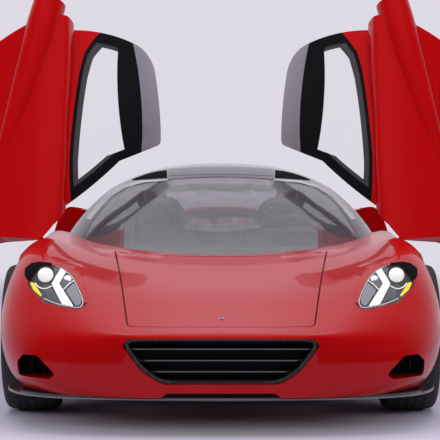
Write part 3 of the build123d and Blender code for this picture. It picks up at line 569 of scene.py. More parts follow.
class Skin:
    """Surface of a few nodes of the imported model, which trim is laid on.

    A place on it is given in the front view, as seen along sight lines from EYE. One view unit is one part
    in SIGHT_LENGTH of the distance ahead, and SIGHT_CENTRE is the place straight ahead.
    """

    EYE = Vector((0.0, -9.6, 1.0))
    SIGHT_CENTRE = (221.0, 188.0)
    SIGHT_LENGTH = 1843.0
    NEAREST_FROM = 8.0        # distance from EYE at which a sight line that misses looks for the surface
    STRIP_THICKNESS = 0.0016
    STRIP_COLUMNS = 30
    STRIP_ROWS = 6

    def __init__(self, *nodes: str) -> None:
        """Reads the surface of the named nodes.

        Args:
            nodes: Nodes that make up the surface.
        """
        points: list[Vector] = []
        faces: list[tuple[int, ...]] = []
        for name in nodes:
            data = frame["nodes"][name].data
            start = len(points)
            points += [vertex.co.copy() for vertex in data.vertices]
            faces += [tuple(start + corner for corner in face.vertices) for face in data.polygons]
        self.tree = BVHTree.FromPolygons(points, faces)

    def seen(self, u: float, v: float) -> tuple[Vector, Vector]:
        """Point and outward direction where a sight line meets the surface, or passes nearest to it.

        Args:
            u: Place across the front view, in view units from its left edge.
            v: Place down the front view, in view units from its top edge.

        Returns:
            The point and the surface's direction there.
        """
        ahead = Vector(((u - self.SIGHT_CENTRE[0]) / self.SIGHT_LENGTH, 1.0,
                        (self.SIGHT_CENTRE[1] - v) / self.SIGHT_LENGTH)).normalized()
        point, normal, _, _ = self.tree.ray_cast(self.EYE, ahead)
        if point is None:
            point, normal, _, _ = self.tree.find_nearest(self.EYE + ahead * self.NEAREST_FROM)
        return point, -normal if normal.dot(ahead) > 0 else normal

    def behind(self, u: float, v: float, depth: float) -> Vector:
        """Point a little way behind the surface on a sight line."""
        point, _ = self.seen(u, v)
        return point + (point - self.EYE).normalized() * depth

    def raised(self, u: float, v: float, lift: float) -> Vector:
        """Point a little way above the surface."""
        point, normal = self.seen(u, v)
        return point + normal * lift

    def laid(self, upper: Sequence[Pair], lower: Sequence[Pair], lift: float) -> Form:
        """Thin strip on the surface between two lines of the front view.

        Args:
            upper: One edge as (across, down).
            lower: The other edge, with as many points.
            lift: Height of the strip above the surface.

        Returns:
            The strip as a closed form.
        """
        rings = []
        for column in range(self.STRIP_COLUMNS + 1):
            span, t = span_at(column / self.STRIP_COLUMNS, len(upper))
            top, foot = (Vector(line[span]).lerp(Vector(line[span + 1]), t) for line in (upper, lower))
            front = [self.raised(*top.lerp(foot, row / self.STRIP_ROWS), lift)
                     for row in range(self.STRIP_ROWS + 1)]
            back = [point - (self.EYE - point).normalized() * self.STRIP_THICKNESS for point in front]
            rings.append(front + back[::-1])
        return Form().skin(rings)


def rounded(corners: Sequence[Pair], radius: float, steps: int = 5) -> list[Pair]:
    """Closed outline with its corners rounded by quadratic curves.

    Args:
        corners: Corners of the outline.
        radius: Distance from a corner at which its rounding starts.
        steps: Points on each rounding.

    Returns:
        The corners of the rounded outline.
    """
    most = 0.45     # share of a side that one rounding may take
    result = []
    for place, corner in enumerate(corners):
        here = Vector(corner)
        before, after = Vector(corners[place - 1]), Vector(corners[(place + 1) % len(corners)])
        start = here + (before - here).normalized() * min(radius, most * (before - here).length)
        end = here + (after - here).normalized() * min(radius, most * (after - here).length)
        for step in range(steps):
            t = step / (steps - 1)
            result.append(tuple(start.lerp(here, t).lerp(here.lerp(end, t), t)))
    return result


def smooth_path(points: Sequence[Point], steps: int = 8) -> list[Vector]:
    """Points on a smooth curve through a few places.

    Args:
        points: Places that the curve goes through.
        steps: Points for each span.

    Returns:
        The points.
    """
    knots = [Vector(point) for point in points]
    result = []
    for span, (a, b) in enumerate(zip(knots, knots[1:])):
        before, after = knots[max(span - 1, 0)], knots[min(span + 2, len(knots) - 1)]
        for step in range(steps):
            t = step / steps
            result.append(0.5 * (2 * a + (b - before) * t + (2 * before - 5 * a + 4 * b - after) * t * t
                                 + (3 * a - before - 3 * b + after) * t ** 3))
    return result + [knots[-1]]


def edges_object(name: str, runs: list[list[Vector]], looped: bool = False) -> Piece:
    """Object that holds only the edges of one or more paths.

    Args:
        name: Name of the object.
        runs: Points of each path.
        looped: Whether each path's last point joins its first.

    Returns:
        The object.
    """
    points: list[Point] = []
    links: list[tuple[int, int]] = []
    for run in runs:
        start = len(points)
        points += [tuple(point) for point in run]
        links += [(place, place + 1) for place in range(start, len(points) - 1)]
        if looped:
            links.append((len(points) - 1, start))
    data = bpy.data.meshes.new(name)
    data.from_pydata(points, links, [])
    return linked(name, data)


# ---------- repeated items
class Layout(Enum):
    """Way in which a tree repeats an item."""

    RING = "copies_in_a_ring"
    PATH = "copies_along_a_path"
    PLATE = "copies_over_a_plate"


class Repeat(Tree):
    """Geometry Nodes trees that repeat an item, applied to a plain mesh."""

    SPACED = (("Item", "NodeSocketObject"), ("Spacing", "NodeSocketFloat"))
    INPUTS = {Layout.RING: (("Count", "NodeSocketInt"), ("Centre", "NodeSocketVector")),
              Layout.PATH: SPACED, Layout.PLATE: SPACED}
    RAY_START = -0.1      # how far in front of the grid the rays that look for the plate start
    RAY_LENGTH = 0.2

    def __init__(self, layout: Layout) -> None:
        """Builds the tree for a layout.

        Args:
            layout: How the item is repeated.
        """
        super().__init__(bpy.data.node_groups.new(layout.value, "GeometryNodeTree"))
        face = self.tree.interface
        face.new_socket("Geometry", in_out="INPUT", socket_type="NodeSocketGeometry")
        self.sockets = {name: face.new_socket(name, in_out="INPUT", socket_type=kind).identifier
                        for name, kind in (*self.INPUTS[layout], ("Finish", "NodeSocketMaterial"))}
        face.new_socket("Geometry", in_out="OUTPUT", socket_type="NodeSocketGeometry")
        self.given = self.node("NodeGroupInput").outputs
        builders = {Layout.RING: self._ring, Layout.PATH: self._path, Layout.PLATE: self._plate}
        placed = self.node("GeometryNodeRealizeInstances", Geometry=builders[layout]()).outputs["Geometry"]
        dressed = self.node("GeometryNodeSetMaterial", Geometry=placed, Material=self.given["Finish"])
        self.node("NodeGroupOutput", Geometry=dressed.outputs["Geometry"])

    def _copies(self, points: Socket, item: Socket, **named: Socket) -> Socket:
        """Copies of an item on points."""
        made = self.node("GeometryNodeInstanceOnPoints", Points=points, Instance=item, **named)
        return made.outputs["Instances"]

    def _item(self) -> Socket:
        """Mesh of the item that is repeated."""
        return self.node("GeometryNodeObjectInfo", Object=self.given["Item"]).outputs["Geometry"]

    def _ring(self) -> Socket:
        """Copies the given mesh round an axis along X through the given centre.

        Returns:
            The socket of the copies.
        """
        line = self.node("GeometryNodeMeshLine", Count=self.given["Count"], Offset=(0, 0, 0))
        turns = self.maths("MULTIPLY", self.node("GeometryNodeInputIndex").outputs[0], math.tau)
        angles = self.node("ShaderNodeCombineXYZ", X=self.maths("DIVIDE", turns, self.given["Count"]))
        copies = self._copies(line.outputs["Mesh"], self.given["Geometry"], Rotation=angles.outputs["Vector"])
        return self.node("GeometryNodeTransform", Geometry=copies,
                         Translation=self.given["Centre"]).outputs["Geometry"]

    def _path(self) -> Socket:
        """Copies the item along the given edges, its X axis along them.

        Returns:
            The socket of the copies.
        """
        curve = self.node("GeometryNodeMeshToCurve", Mesh=self.given["Geometry"]).outputs["Curve"]
        even = self.node("GeometryNodeResampleCurve", mode="LENGTH", Curve=curve,
                         Length=self.given["Spacing"])
        tangent = self.node("GeometryNodeInputTangent").outputs["Tangent"]
        aim = self.node("FunctionNodeAlignRotationToVector", axis="X", Vector=tangent)
        return self._copies(even.outputs["Curve"], self._item(), Rotation=aim.outputs["Rotation"])

    def _plate(self) -> Socket:
        """Copies the item on an upright grid, wherever it lies in front of the given plate.

        Returns:
            The socket of the copies.
        """
        start = self.vector("ADD", self.node("GeometryNodeInputPosition").outputs[0], (0, self.RAY_START, 0))
        ray = self.node("GeometryNodeRaycast", Target_Geometry=self.given["Geometry"], Source_Position=start,
                        Ray_Direction=(0, 1, 0), Ray_Length=self.RAY_LENGTH)
        return self._copies(self._upright_grid(), self._item(), Selection=ray.outputs["Is Hit"])

    def _upright_grid(self) -> Socket:
        """Grid over the front of the given mesh, its points a spacing apart.

        Returns:
            The socket that carries the grid.
        """
        box = self.node("GeometryNodeBoundBox", Geometry=self.given["Geometry"]).outputs
        centre = self.vector("SCALE", self.vector("ADD", box["Max"], box["Min"]), Scale=0.5)
        extents = self.node("ShaderNodeSeparateXYZ", self.vector("SUBTRACT", box["Max"], box["Min"])).outputs
        lengths, counts = [], []
        for extent in (extents["X"], extents["Z"]):
            count = self.maths("ROUND", self.maths("DIVIDE", extent, self.given["Spacing"]))
            counts.append(count)
            lengths.append(self.maths("MULTIPLY", self.maths("SUBTRACT", count, 1.0), self.given["Spacing"]))
        grid = self.node("GeometryNodeMeshGrid", *lengths, *counts)
        return self.node("GeometryNodeTransform", Geometry=grid.outputs["Mesh"], Translation=centre,
                         Rotation=(math.radians(90), 0, 0)).outputs["Geometry"]

    def apply(self, name: str, carrier: Piece, finish: Finish, **values: object) -> Piece:
        """Runs the tree on an object and gives back a plain mesh.

        Args:
            name: Name of the result.
            carrier: Object whose mesh is the tree's geometry, removed afterwards.
            finish: Finish of the copies.
            values: The tree's other inputs by name, in lower case.

        Returns:
            An object with the realised copies.
        """
        modifier = carrier.modifiers.new("copies", "NODES")
        modifier.node_group = self.tree
        modifier[self.sockets["Finish"]] = finish.material()
        for key, value in values.items():
            modifier[self.sockets[key.capitalize()]] = value
        bpy.context.view_layer.update()
        settled = carrier.evaluated_get(bpy.context.evaluated_depsgraph_get())
        data = bpy.data.meshes.new_from_object(settled)
        data.name = name
        bpy.data.objects.remove(carrier)
        if "item" in values:
            bpy.data.objects.remove(values["item"])
        return linked(name, data)


# ---------- nose and lamps
SIDES = (("right", 1), ("left", -1))     # the side at which forms are drawn comes first


def on_both_sides(name: str, draw: Callable[[], Form], finish: Finish) -> None:
    """Fits a form drawn on the right side of the chassis and its mirror image.

    Args:
        name: Start of the pieces' names.
        draw: Makes the form.
        finish: Finish of both pieces.
    """
    for side, sign in SIDES:
        form = draw() if sign > 0 else draw().mirrored()
        fit(form.made(f"{name}_{side}", finish))


@dataclass
class HeadlampUnit:
    """Lenses, light guides and indicator in each headlamp, laid out in the front view."""

    projector: Pair = (45.4, 275.0)
    projector_radius: float = 0.0330
    spot: Pair = (67.4, 279.0)
    spot_radius: float = 0.0160
    guide: Line = ((60.3, 268.6), (66.5, 270.7), (58.7, 283.5), (73.3, 306.6), (61.8, 304.3), (51.4, 283.8))
    divider: Line = ((63.4, 289.6), (68.4, 284.6), (73.9, 280.6))
    inner_panel: Line = ((74.1, 282.6), (81.6, 299.2), (80.4, 304.4), (75.8, 306.4), (65.6, 290.6))
    spot_panel: Line = ((67.6, 271.6), (73.2, 279.4), (63.0, 288.2), (60.4, 284.2))
    lower_panel: Line = ((44.9, 290.4), (51.6, 289.0), (59.4, 302.2), (55.6, 302.2), (46.6, 298.4))
    upper_panel: Line = ((54.0, 267.2), (59.4, 268.4), (54.6, 276.8), (53.6, 272.6))
    arc: Line = ((35.1, 283.4), (38.6, 287.2), (43.0, 288.8), (47.4, 288.2), (51.4, 286.2))
    indicator: Line = ((28.8, 281.4), (33.9, 283.2), (41.9, 295.6), (40.6, 296.8), (33.2, 290.2))
    edge_line: Line = ((55.0, 265.9), (60.3, 267.9), (71.2, 276.3), (78.2, 289.0), (82.6, 300.2),
                       (81.2, 306.4), (76.5, 307.8), (66.0, 306.0), (56.1, 303.8), (43.6, 298.6))
    seal_inner: Line = ((29.6, 284.2), (32.0, 278.4), (36.4, 272.4), (42.6, 267.6), (52.0, 266.0))
    seal_outer: Line = ((24.6, 275.8), (24.9, 268.8), (31.4, 263.6), (39.5, 262.2), (51.0, 263.4))
    seal_lift: float = 0.0022
    fairing_inner: Line = ((54.0, 265.2), (60.6, 267.3), (71.9, 275.7), (79.1, 288.4), (83.4, 299.8),
                           (82.4, 306.8))
    fairing_outer: Line = ((54.0, 262.8), (68.0, 262.5), (82.6, 266.0), (87.4, 282.0), (90.0, 299.0),
                           (88.0, 311.0))
    fairing_lift: float = 0.0010
    depth_under_cover: float = 0.012
    panel_face: float = 0.93            # flat middle of a panel, as a share of its outline
    panel_crown: float = 0.0015
    panel_rounding_steps: int = 4
    wire_depth: float = 0.009
    wire_radius: float = 0.0020
    arc_radius: float = 0.0022
    wire_steps: int = 4
    lens_forward: float = 1.6           # weight of straight ahead against the cover's own direction
    lens_sink: float = 0.4              # further depth of a lens, as a share of its radius
    lens_back: float = -0.020
    dome: Line = ((0.0, 0.20), (0.4, 0.17), (0.75, 0.09), (1.0, 0.0))    # shares of the radius
    barrel: Line = ((1.02, -0.002), (1.05, 0.002), (1.12, 0.003), (1.22, 0.0))  # share, metres
    barrel_radii: Pair = (1.28, 1.02)   # outer and inner radius at the back, as shares of the lens
    lens_steps: int = 40

    def __post_init__(self) -> None:
        """Reads the lamp covers and the skin round them."""
        self.bowl = Skin("headlamp_covers")
        self.flush = Skin("front_clam", "headlamp_covers", "headlamp_left", "headlamp_right")

    def _panel(self, corners: Sequence[Pair], depth: float = 0.022, radius: float = 1.0,
               below: float = 0.012) -> Form:
        """Raised flat form under the cover.

        Args:
            corners: Corners of its face in the front view.
            depth: Its thickness.
            radius: Rounding of its corners, in view units.
            below: Depth of its face below the cover.

        Returns:
            The form.
        """
        outline = rounded(corners, radius, self.panel_rounding_steps)
        front = [self.bowl.behind(u, v, below) for u, v in outline]
        middle = sum(front, Vector()) / len(front)
        back = (middle - Skin.EYE).normalized()
        edge = [middle + (point - middle) * self.panel_face - back * self.panel_crown for point in front]
        return Form().skin([edge, front, [point + back * depth for point in front]])

    def _seat(self, place: Pair, radius: float) -> tuple[Vector, Vector]:
        """Where a lens sits.

        Args:
            place: Its middle in the front view.
            radius: Its radius.

        Returns:
            Its middle and its direction, between the cover's own and straight ahead.
        """
        _, normal = self.bowl.seen(*place)
        return (self.bowl.behind(*place, self.depth_under_cover + self.lens_sink * radius),
                (normal + Vector((0, -self.lens_forward, 0))).normalized())

    def _lens(self, place: Pair, radius: float) -> Form:
        """Round domed lens that faces forwards.

        Args:
            place: Its middle in the front view.
            radius: Radius of its rim.

        Returns:
            The form.
        """
        point, axis = self._seat(place, radius)
        dome = [(out * radius, rise * radius) for out, rise in self.dome]
        return Form().lathe(dome + [(radius, self.lens_back), (0.0, self.lens_back)], tuple(point), axis,
                            self.lens_steps)

    def _bezel(self, place: Pair, radius: float) -> Form:
        """Barrel round a lens.

        Args:
            place: Its middle in the front view.
            radius: Radius of the lens.

        Returns:
            The form.
        """
        point, axis = self._seat(place, radius)
        front = [(share * radius, rise) for share, rise in self.barrel]
        back = [(share * radius, self.lens_back) for share in self.barrel_radii]
        return Form().lathe(front + back, tuple(point), axis, self.lens_steps)

    def _wire(self, line: Sequence[Pair], radius: float) -> Form:
        """Thin light guide under the cover."""
        places = [tuple(self.bowl.behind(u, v, self.wire_depth)) for u, v in line]
        return Form().tube(smooth_path(places, self.wire_steps), radius)

    def build(self) -> None:
        """Fits every inner piece and edge of both lamps."""
        projector, spot = (self.projector, self.projector_radius), (self.spot, self.spot_radius)
        # name, the form, finish
        pieces = (
            ("projector", lambda: self._lens(*projector), LAMP_WHITE),
            ("projector_bezel", lambda: self._bezel(*projector), LAMP_BLACK),
            ("spot", lambda: self._lens(*spot), LAMP_WHITE),
            ("spot_panel", lambda: self._panel(self.spot_panel, depth=0.010, below=0.026), LAMP_GREY),
            ("light_guide", lambda: self._panel(self.guide), LAMP_WHITE),
            ("divider", lambda: self._wire(self.divider, self.wire_radius), LAMP_WHITE),
            ("inner_panel", lambda: self._panel(self.inner_panel, depth=0.018, radius=2.0), LAMP_SMOKE),
            ("lower_panel", lambda: self._panel(self.lower_panel, depth=0.018), LAMP_GREY),
            ("upper_panel", lambda: self._panel(self.upper_panel, depth=0.018), LAMP_GREY),
            ("arc", lambda: self._wire(self.arc, self.arc_radius), LAMP_WHITE),
            ("indicator", lambda: self._panel(self.indicator, depth=0.020, radius=0.9), AMBER),
            ("edge_light", lambda: self._wire(self.edge_line, self.wire_radius), LAMP_PALE),
            ("edge_seal",
             lambda: self.flush.laid(self.seal_inner, self.seal_outer, self.seal_lift), FRAME_BLACK),
            ("fairing",
             lambda: self.flush.laid(self.fairing_inner, self.fairing_outer, self.fairing_lift), PAINT),
        )
        for name, draw, finish in pieces:
            on_both_sides(f"headlamp_{name}", draw, finish)


@dataclass
class ScreenTrim:
    """Pale bands round the windscreen that are a painted highlight of its edge, the door seal's corners, the
    trim of its header and a pale cloth strip behind the screen that is partly a painted reflection.
    """

    # edges of the pale band that is a painted highlight of the screen's rim, in the front view
    edge_outer: Line = ((85.5, 219.0), (95, 206.0), (106, 194.4), (120, 186.0), (140, 181.2), (168, 179.4))
    edge_inner: Line = ((90.5, 220.0), (100, 208.2), (110.6, 197.0), (124, 188.4), (142, 182.9), (168, 180.5))
    corner_upper: Line = ((133, 179.2), (140, 176.4), (150, 173.2), (158, 171.4), (167, 170.2))
    corner_lower: Line = ((132, 180.6), (140, 179.9), (150, 179.2), (158, 178.6), (167, 178.0))
    header_upper: Line = ((168.4, 169.0), (195, 167.4), (221, 166.8), (247, 167.4), (273.6, 169.0))
    header_lower: Line = ((168.4, 176.0), (195, 175.0), (221, 174.6), (247, 175.0), (273.6, 176.0))
    # band of the pale headliner strip, which is partly a painted reflection of the backdrop in the screen
    beam_upper: Line = ((172, 180.6), (195, 179.4), (221, 179.0), (247, 179.4), (270, 180.6))
    beam_lower: Line = ((172, 187.6), (195, 188.8), (221, 189.2), (247, 188.8), (270, 187.6))
    bulkhead_pad: tuple[Point, Point] = ((-0.300, 0.7005, 0.600), (0.300, 0.7135, 0.793))
    bulkhead_rounding: float = 0.005
    lift: float = 0.0010

    def build(self) -> None:
        """Fits every piece round the screen."""
        outside = Skin("windshield", "roof_frame")
        # the pale screen bands are a painted highlight, laid on the glass and the roof frame
        bands = (("screen_edge", self.edge_outer, self.edge_inner, PAINTED_SCREEN_HIGHLIGHT),
                 ("roof_corner_seal", self.corner_upper, self.corner_lower, FRAME_BLACK))
        for name, upper, lower, finish in bands:
            on_both_sides(name, lambda: outside.laid(upper, lower, self.lift), finish)
        header = outside.laid(self.header_upper, self.header_lower, self.lift)
        fit(header.made("header_trim", HEADER_GREY))
        # pale cloth strip on the header beam, partly a painted reflection seen through the screen
        beam = Skin("roof_frame").laid(self.beam_upper, self.beam_lower, self.lift)
        fit(beam.made("header_inner_trim", HEADER_CLOTH_AND_REFLECTION))
        pad = Form().box(*self.bulkhead_pad)
        fit(pad.made("bulkhead_pad", LEATHER), self.bulkhead_rounding)


@dataclass
class NoseTrim:
    """Mesh, light strips, beads, badge plate and lip of the nose."""

    grille_half: Line = ((0.236, 0.212), (0.318, 0.262), (0.397, 0.368), (0.372, 0.395))
    grille_middle: float = 0.304
    grille_rounding: float = 0.075
    grille_rounding_steps: int = 8
    plate_thickness: float = 0.001
    mesh_y: float = -2.1262
    mesh_share: float = 0.955           # the mesh's outline as a share of the opening's
    cell: float = 0.019
    wire: float = 0.0016
    bead_y: float = -2.2035
    bead_share: float = 0.978
    bead_half: Point = (0.0042, 0.004, 0.007)
    bead_spacing: float = 0.0105
    strip_heights: tuple[float, ...] = (0.260, 0.305, 0.351)
    strip_front: float = -2.1965
    strip_depth: float = 0.003
    strip_half_height: float = 0.0016
    opening_foot: Pair = (0.236, 0.212)     # half-width and height at the foot of the opening
    opening_growth: Pair = (0.155, 0.156)   # how much wider it is, over this rise
    strip_margin: float = 0.022
    badge: Pair = (221.5, 319.0)
    badge_size: Pair = (0.0125, 0.0165)
    badge_rim_rise: float = 0.0032
    badge_face_rise: float = 0.0038
    badge_face_share: float = 0.8
    badge_dome: Line = ((1.0, 0.6), (0.85, 1.0), (0.4, 1.15))   # shares of its size, its rise
    badge_root: float = -0.002
    badge_steps: int = 32
    duct_outline: Line = ((0.838, 0.290), (0.811, 0.313), (0.750, 0.313), (0.675, 0.243), (0.702, 0.228),
                          (0.834, 0.228))
    duct_y: float = -1.8952
    fin_places: tuple[float, ...] = (0.735, 0.785)
    fin_side: Line = ((-1.93, 0.232), (-1.898, 0.232), (-1.898, 0.306), (-1.921, 0.306))
    fin_thickness: float = 0.005
    fin_bevel: float = 0.001
    lip: Route = ((0, -2.2405, 0.1525), (0.26, -2.235, 0.1525), (0.47, -2.216, 0.1525),
                  (0.66, -2.166, 0.1525), (0.80, -2.064, 0.1525), (0.872, -1.93, 0.1525),
                  (0.900, -1.80, 0.1525), (0.9075, -1.705, 0.1525))
    lip_radius: float = 0.0028
    lip_steps: int = 6

    def _grille_ring(self, y: float, share: float) -> list[Vector]:
        """Grille outline at a depth, drawn in to a share of its size.

        Args:
            y: Depth of the outline.
            share: Share of the full size.

        Returns:
            The corners of the outline.
        """
        half = list(self.grille_half)
        ring = rounded(half + [(-x, z) for x, z in reversed(half)], self.grille_rounding,
                       self.grille_rounding_steps)
        middle = self.grille_middle
        return [Vector((x * share, y, middle + (z - middle) * share)) for x, z in ring]

    def _diamond(self) -> Piece:
        """One open diamond of the mesh.

        Returns:
            The object to repeat.
        """
        radius = self.cell / 2
        corners = [Vector((radius * math.cos(a), 0, radius * math.sin(a)))
                   for a in (0, math.pi / 2, math.pi, 1.5 * math.pi)]
        return Form().tube(corners, self.wire, sides=4, looped=True).made("mesh_diamond")

    def _meshes(self) -> None:
        """Diamond mesh in the grille and in both side ducts."""
        thick = Vector((0, self.plate_thickness, 0))
        grille, ducts = Form().slab(self._grille_ring(self.mesh_y, self.mesh_share), thick), Form()
        for _, sign in SIDES:
            ducts.slab([Vector((sign * x, self.duct_y, z)) for x, z in self.duct_outline], thick)
        over_plate = Repeat(Layout.PLATE)
        for name, form in (("grille", grille), ("duct", ducts)):
            mesh = over_plate.apply(f"{name}_mesh", form.made(f"{name}_plate"), MESH_BLACK,
                                    item=self._diamond(), spacing=self.cell)
            fit(mesh)

    def _beads(self, along: Repeat) -> None:
        """Row of small beads round the grille."""
        bead = Form().box(tuple(-half for half in self.bead_half), self.bead_half).made("rib")
        path = edges_object("grille_path", [self._grille_ring(self.bead_y, self.bead_share)], True)
        fit(along.apply("grille_ribs", path, CARBON, item=bead, spacing=self.bead_spacing))

    def _strips(self) -> None:
        """Bright strips across the grille."""
        strips = Form()
        foot, low = self.opening_foot
        wider, rise = self.opening_growth
        for height in self.strip_heights:
            half = foot + wider * (height - low) / rise - self.strip_margin
            strips.box((-half, self.strip_front, height - self.strip_half_height),
                       (half, self.strip_front + self.strip_depth, height + self.strip_half_height))
        fit(strips.made("grille_bright_strips", LIP_SILVER))

    def _badge(self, name: str, share: float, rise: float, finish: Finish) -> None:
        """Fits a blank domed oval plate on the front lid.

        Args:
            name: Name of the plate.
            share: Its size as a share of the badge.
            rise: Its height.
            finish: Its finish.
        """
        point, normal = Skin("front_lid").seen(*self.badge)
        right = Vector((1, 0, 0))
        up = normal.cross(right).normalized()
        up = up if up.z > 0 else -up
        wide, high = (share * size for size in self.badge_size)
        rings = []
        layers = [(1.0, self.badge_root), *((size, level * rise) for size, level in self.badge_dome)]
        for size, lift in layers:
            angles = [math.tau * step / self.badge_steps for step in range(self.badge_steps)]
            rings.append([point + normal * lift + right * wide * size * math.cos(a)
                          + up * high * size * math.sin(a) for a in angles])
        fit(Form().skin(rings).made(name, finish), body="front_lid")

    def _lip(self) -> None:
        """Bright line round the edge of the splitter."""
        right = smooth_path([(-x, y, z) for x, y, z in self.lip[::-1]], self.lip_steps)
        left = [Vector((-p.x, p.y, p.z)) for p in right[-2::-1]]
        line = Form().tube(right + left, self.lip_radius, sides=6)
        fit(line.made("lip_bright_line", LIP_SILVER))

    def _fins(self) -> None:
        """Two upright fins in each side duct."""
        fins = Form()
        for _, sign in SIDES:
            for x in self.fin_places:
                fins.slab([Vector((sign * x, y, z)) for y, z in self.fin_side],
                          Vector((sign * self.fin_thickness, 0, 0)))
        fit(fins.made("duct_fins", TRIM_BLACK), self.fin_bevel)

    def build(self, along: Repeat) -> None:
        """Fits every piece of the nose.

        Args:
            along: The tree that repeats an item along a path.
        """
        self._meshes()
        self._beads(along)
        self._strips()
        self._badge("nose_badge_rim", 1.0, self.badge_rim_rise, CHROME)
        self._badge("nose_badge_face", self.badge_face_share, self.badge_face_rise, ROOF_BLACK)
        self._lip()
        self._fins()


# ---------- wheels
@dataclass
class WheelDress:
    """Grooved tyre, nuts, cap and bead ring of one road wheel."""

    axle: str
    side: str
    radius: float
    width: float
    rim: float
    x: float
    y: float
    groove: float = 0.0065
    # corners of the carcass, as (added to a radius, taken from the half-width)
    flank_from_rim: Line = ((0.001, 0.014), (0.012, 0.0125), (0.016, 0.008), (0.045, 0.0005), (0.058, 0.003))
    flank_from_tread: Line = ((-0.026, 0.0045), (-0.014, 0.014))
    flank_from_groove: Line = ((-0.001, 0.030), (0.0, 0.046))
    blocks: int = 46
    ribs: int = 5
    track_margin: float = 0.034
    rib_gap: float = 0.004
    block_share: float = 0.80       # share of the pitch that a block fills
    block_offset: float = 0.35      # shift of every second rib, as a share of the pitch
    block_root: float = 0.003
    block_top: float = 0.0008
    block_taper: float = 0.0015
    lean: float = 0.006
    shoulder_lean: float = 0.012
    shoulder_drop: float = 0.006
    shoulder_from: float = 0.7      # share of the half-track from which the shoulder drops
    nuts: int = 5
    nut_profile: Line = ((0.0, 0.0), (0.0095, 0.0), (0.0095, 0.016), (0.007, 0.021), (0.0, 0.021))
    nut_circle: float = 0.048
    nut_depth: float = 0.012        # seat of the nuts behind the wheel's face
    cap_profile: Line = ((0.0, 0.0), (0.030, 0.0), (0.030, 0.006), (0.026, 0.010), (0.012, 0.0118),
                         (0.0, 0.0122))
    cap_depth: float = 0.0125
    # corners of the bright ring, as (added to the rim's radius, taken from the half-width)
    lip_section: Line = ((-0.006, 0.0115), (0.0072, 0.0115), (0.0072, 0.0048), (0.002, 0.0042),
                         (-0.006, 0.008))

    def __post_init__(self) -> None:
        """Works out the wheel's place and body."""
        self.sign = 1 if self.side == "left" else -1
        self.centre = (self.sign * self.x, self.y, self.radius)
        self.outwards = Vector((self.sign, 0, 0))
        self.body = f"{self.axle}_{self.side}_wheel"
        self.half = self.width / 2
        self.base = self.radius - self.groove

    def _carcass(self) -> Form:
        """Tyre up to the foot of its grooves.

        Returns:
            The form.
        """
        runs = ((self.rim, self.flank_from_rim), (self.radius, self.flank_from_tread),
                (self.base, self.flank_from_groove))
        flank = [(start + out, self.half - inward) for start, run in runs for out, inward in run]
        profile = flank + [(r, -h) for r, h in reversed(flank)]
        return Form().lathe(profile, self.centre, Vector((1, 0, 0)), steps=96)

    def _tread_item(self) -> Form:
        """One block of each rib, round the X axis.

        Returns:
            The form to repeat.
        """
        rows = Form()
        track = self.half - self.track_margin
        pitch, span = 2 * track / self.ribs, math.tau / self.blocks
        for row in range(self.ribs):
            low, high = -track + row * pitch + self.rib_gap, -track + (row + 1) * pitch - self.rib_gap
            shoulder = row in (0, self.ribs - 1)
            start = self.block_offset * span if row % 2 else 0.0
            end = start + self.block_share * span
            lean = (self.shoulder_lean if shoulder else self.lean) / self.radius
            rings = []
            for level, grow in ((self.base - self.block_root, 0.0),
                                (self.radius - self.block_top, self.block_taper)):
                corners = ((low + grow, start), (high - grow, start + lean),
                           (high - grow, end + lean), (low + grow, end))
                ring = []
                for h, angle in corners:
                    drop = self.shoulder_drop if shoulder and abs(h) > self.shoulder_from * track else 0.0
                    radius = level - drop
                    ring.append(Vector((h, radius * math.sin(angle), radius * math.cos(angle))))
                rings.append(ring)
            rows.skin(rings)
        return rows

    def build(self, ring: Repeat) -> None:
        """Fits the wheel's pieces.

        Args:
            ring: The tree that repeats an item round an axis.
        """
        tyre = self._carcass().made(f"{self.body}_tyre", RUBBER)
        tread = ring.apply(f"{self.body}_tread", self._tread_item().made("tread_item"), RUBBER,
                           count=self.blocks, centre=self.centre)
        for piece in (tyre, tread):
            fit(piece, body=self.body)
            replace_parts(piece, f"{self.axle}_{self.side}_tyre")
        nut = Form().lathe(self.nut_profile, (self.sign * (self.half - self.nut_depth), 0.0, self.nut_circle),
                           self.outwards, steps=6)
        nuts = ring.apply(f"{self.body}_nuts", nut.made("nut_item"), CHROME, count=self.nuts,
                          centre=self.centre)
        fit(nuts, body=self.body)
        cap_place = (self.centre[0] + self.sign * (self.half - self.cap_depth), self.y, self.radius)
        cap = Form().lathe(self.cap_profile, cap_place, self.outwards, steps=32)
        fit(cap.made(f"{self.body}_cap", ROOF_BLACK), body=self.body)
        section = [(self.rim + out, self.half - inward) for out, inward in self.lip_section]
        lip = Form().lathe(section, self.centre, self.outwards, steps=72)
        fit(lip.made(f"{self.body}_bright_lip", CHROME), body=self.body)


# ---------- cabin
def stitch(half: float, radius: float) -> Piece:
    """One stitch of a seam along the X axis."""
    return Form().tube([Vector((-half, 0, 0)), Vector((half, 0, 0))], radius, sides=5).made("stitch_item")


@dataclass(frozen=True)
class Cushion:
    """One padded piece of a seat: its centre line in the side view, the widths along it and its filling."""

    name: str
    line: Line
    widths: tuple[float, ...]
    depth: float
    fill: float
    seams: tuple[float, ...] = ()
    inset: float = 0.0

    def form(self, x: float) -> Form:
        """Padded form in the plane at x."""
        return Form().pad([Vector((x, y, z)) for y, z in self.line], self.widths, self.depth, self.seams)


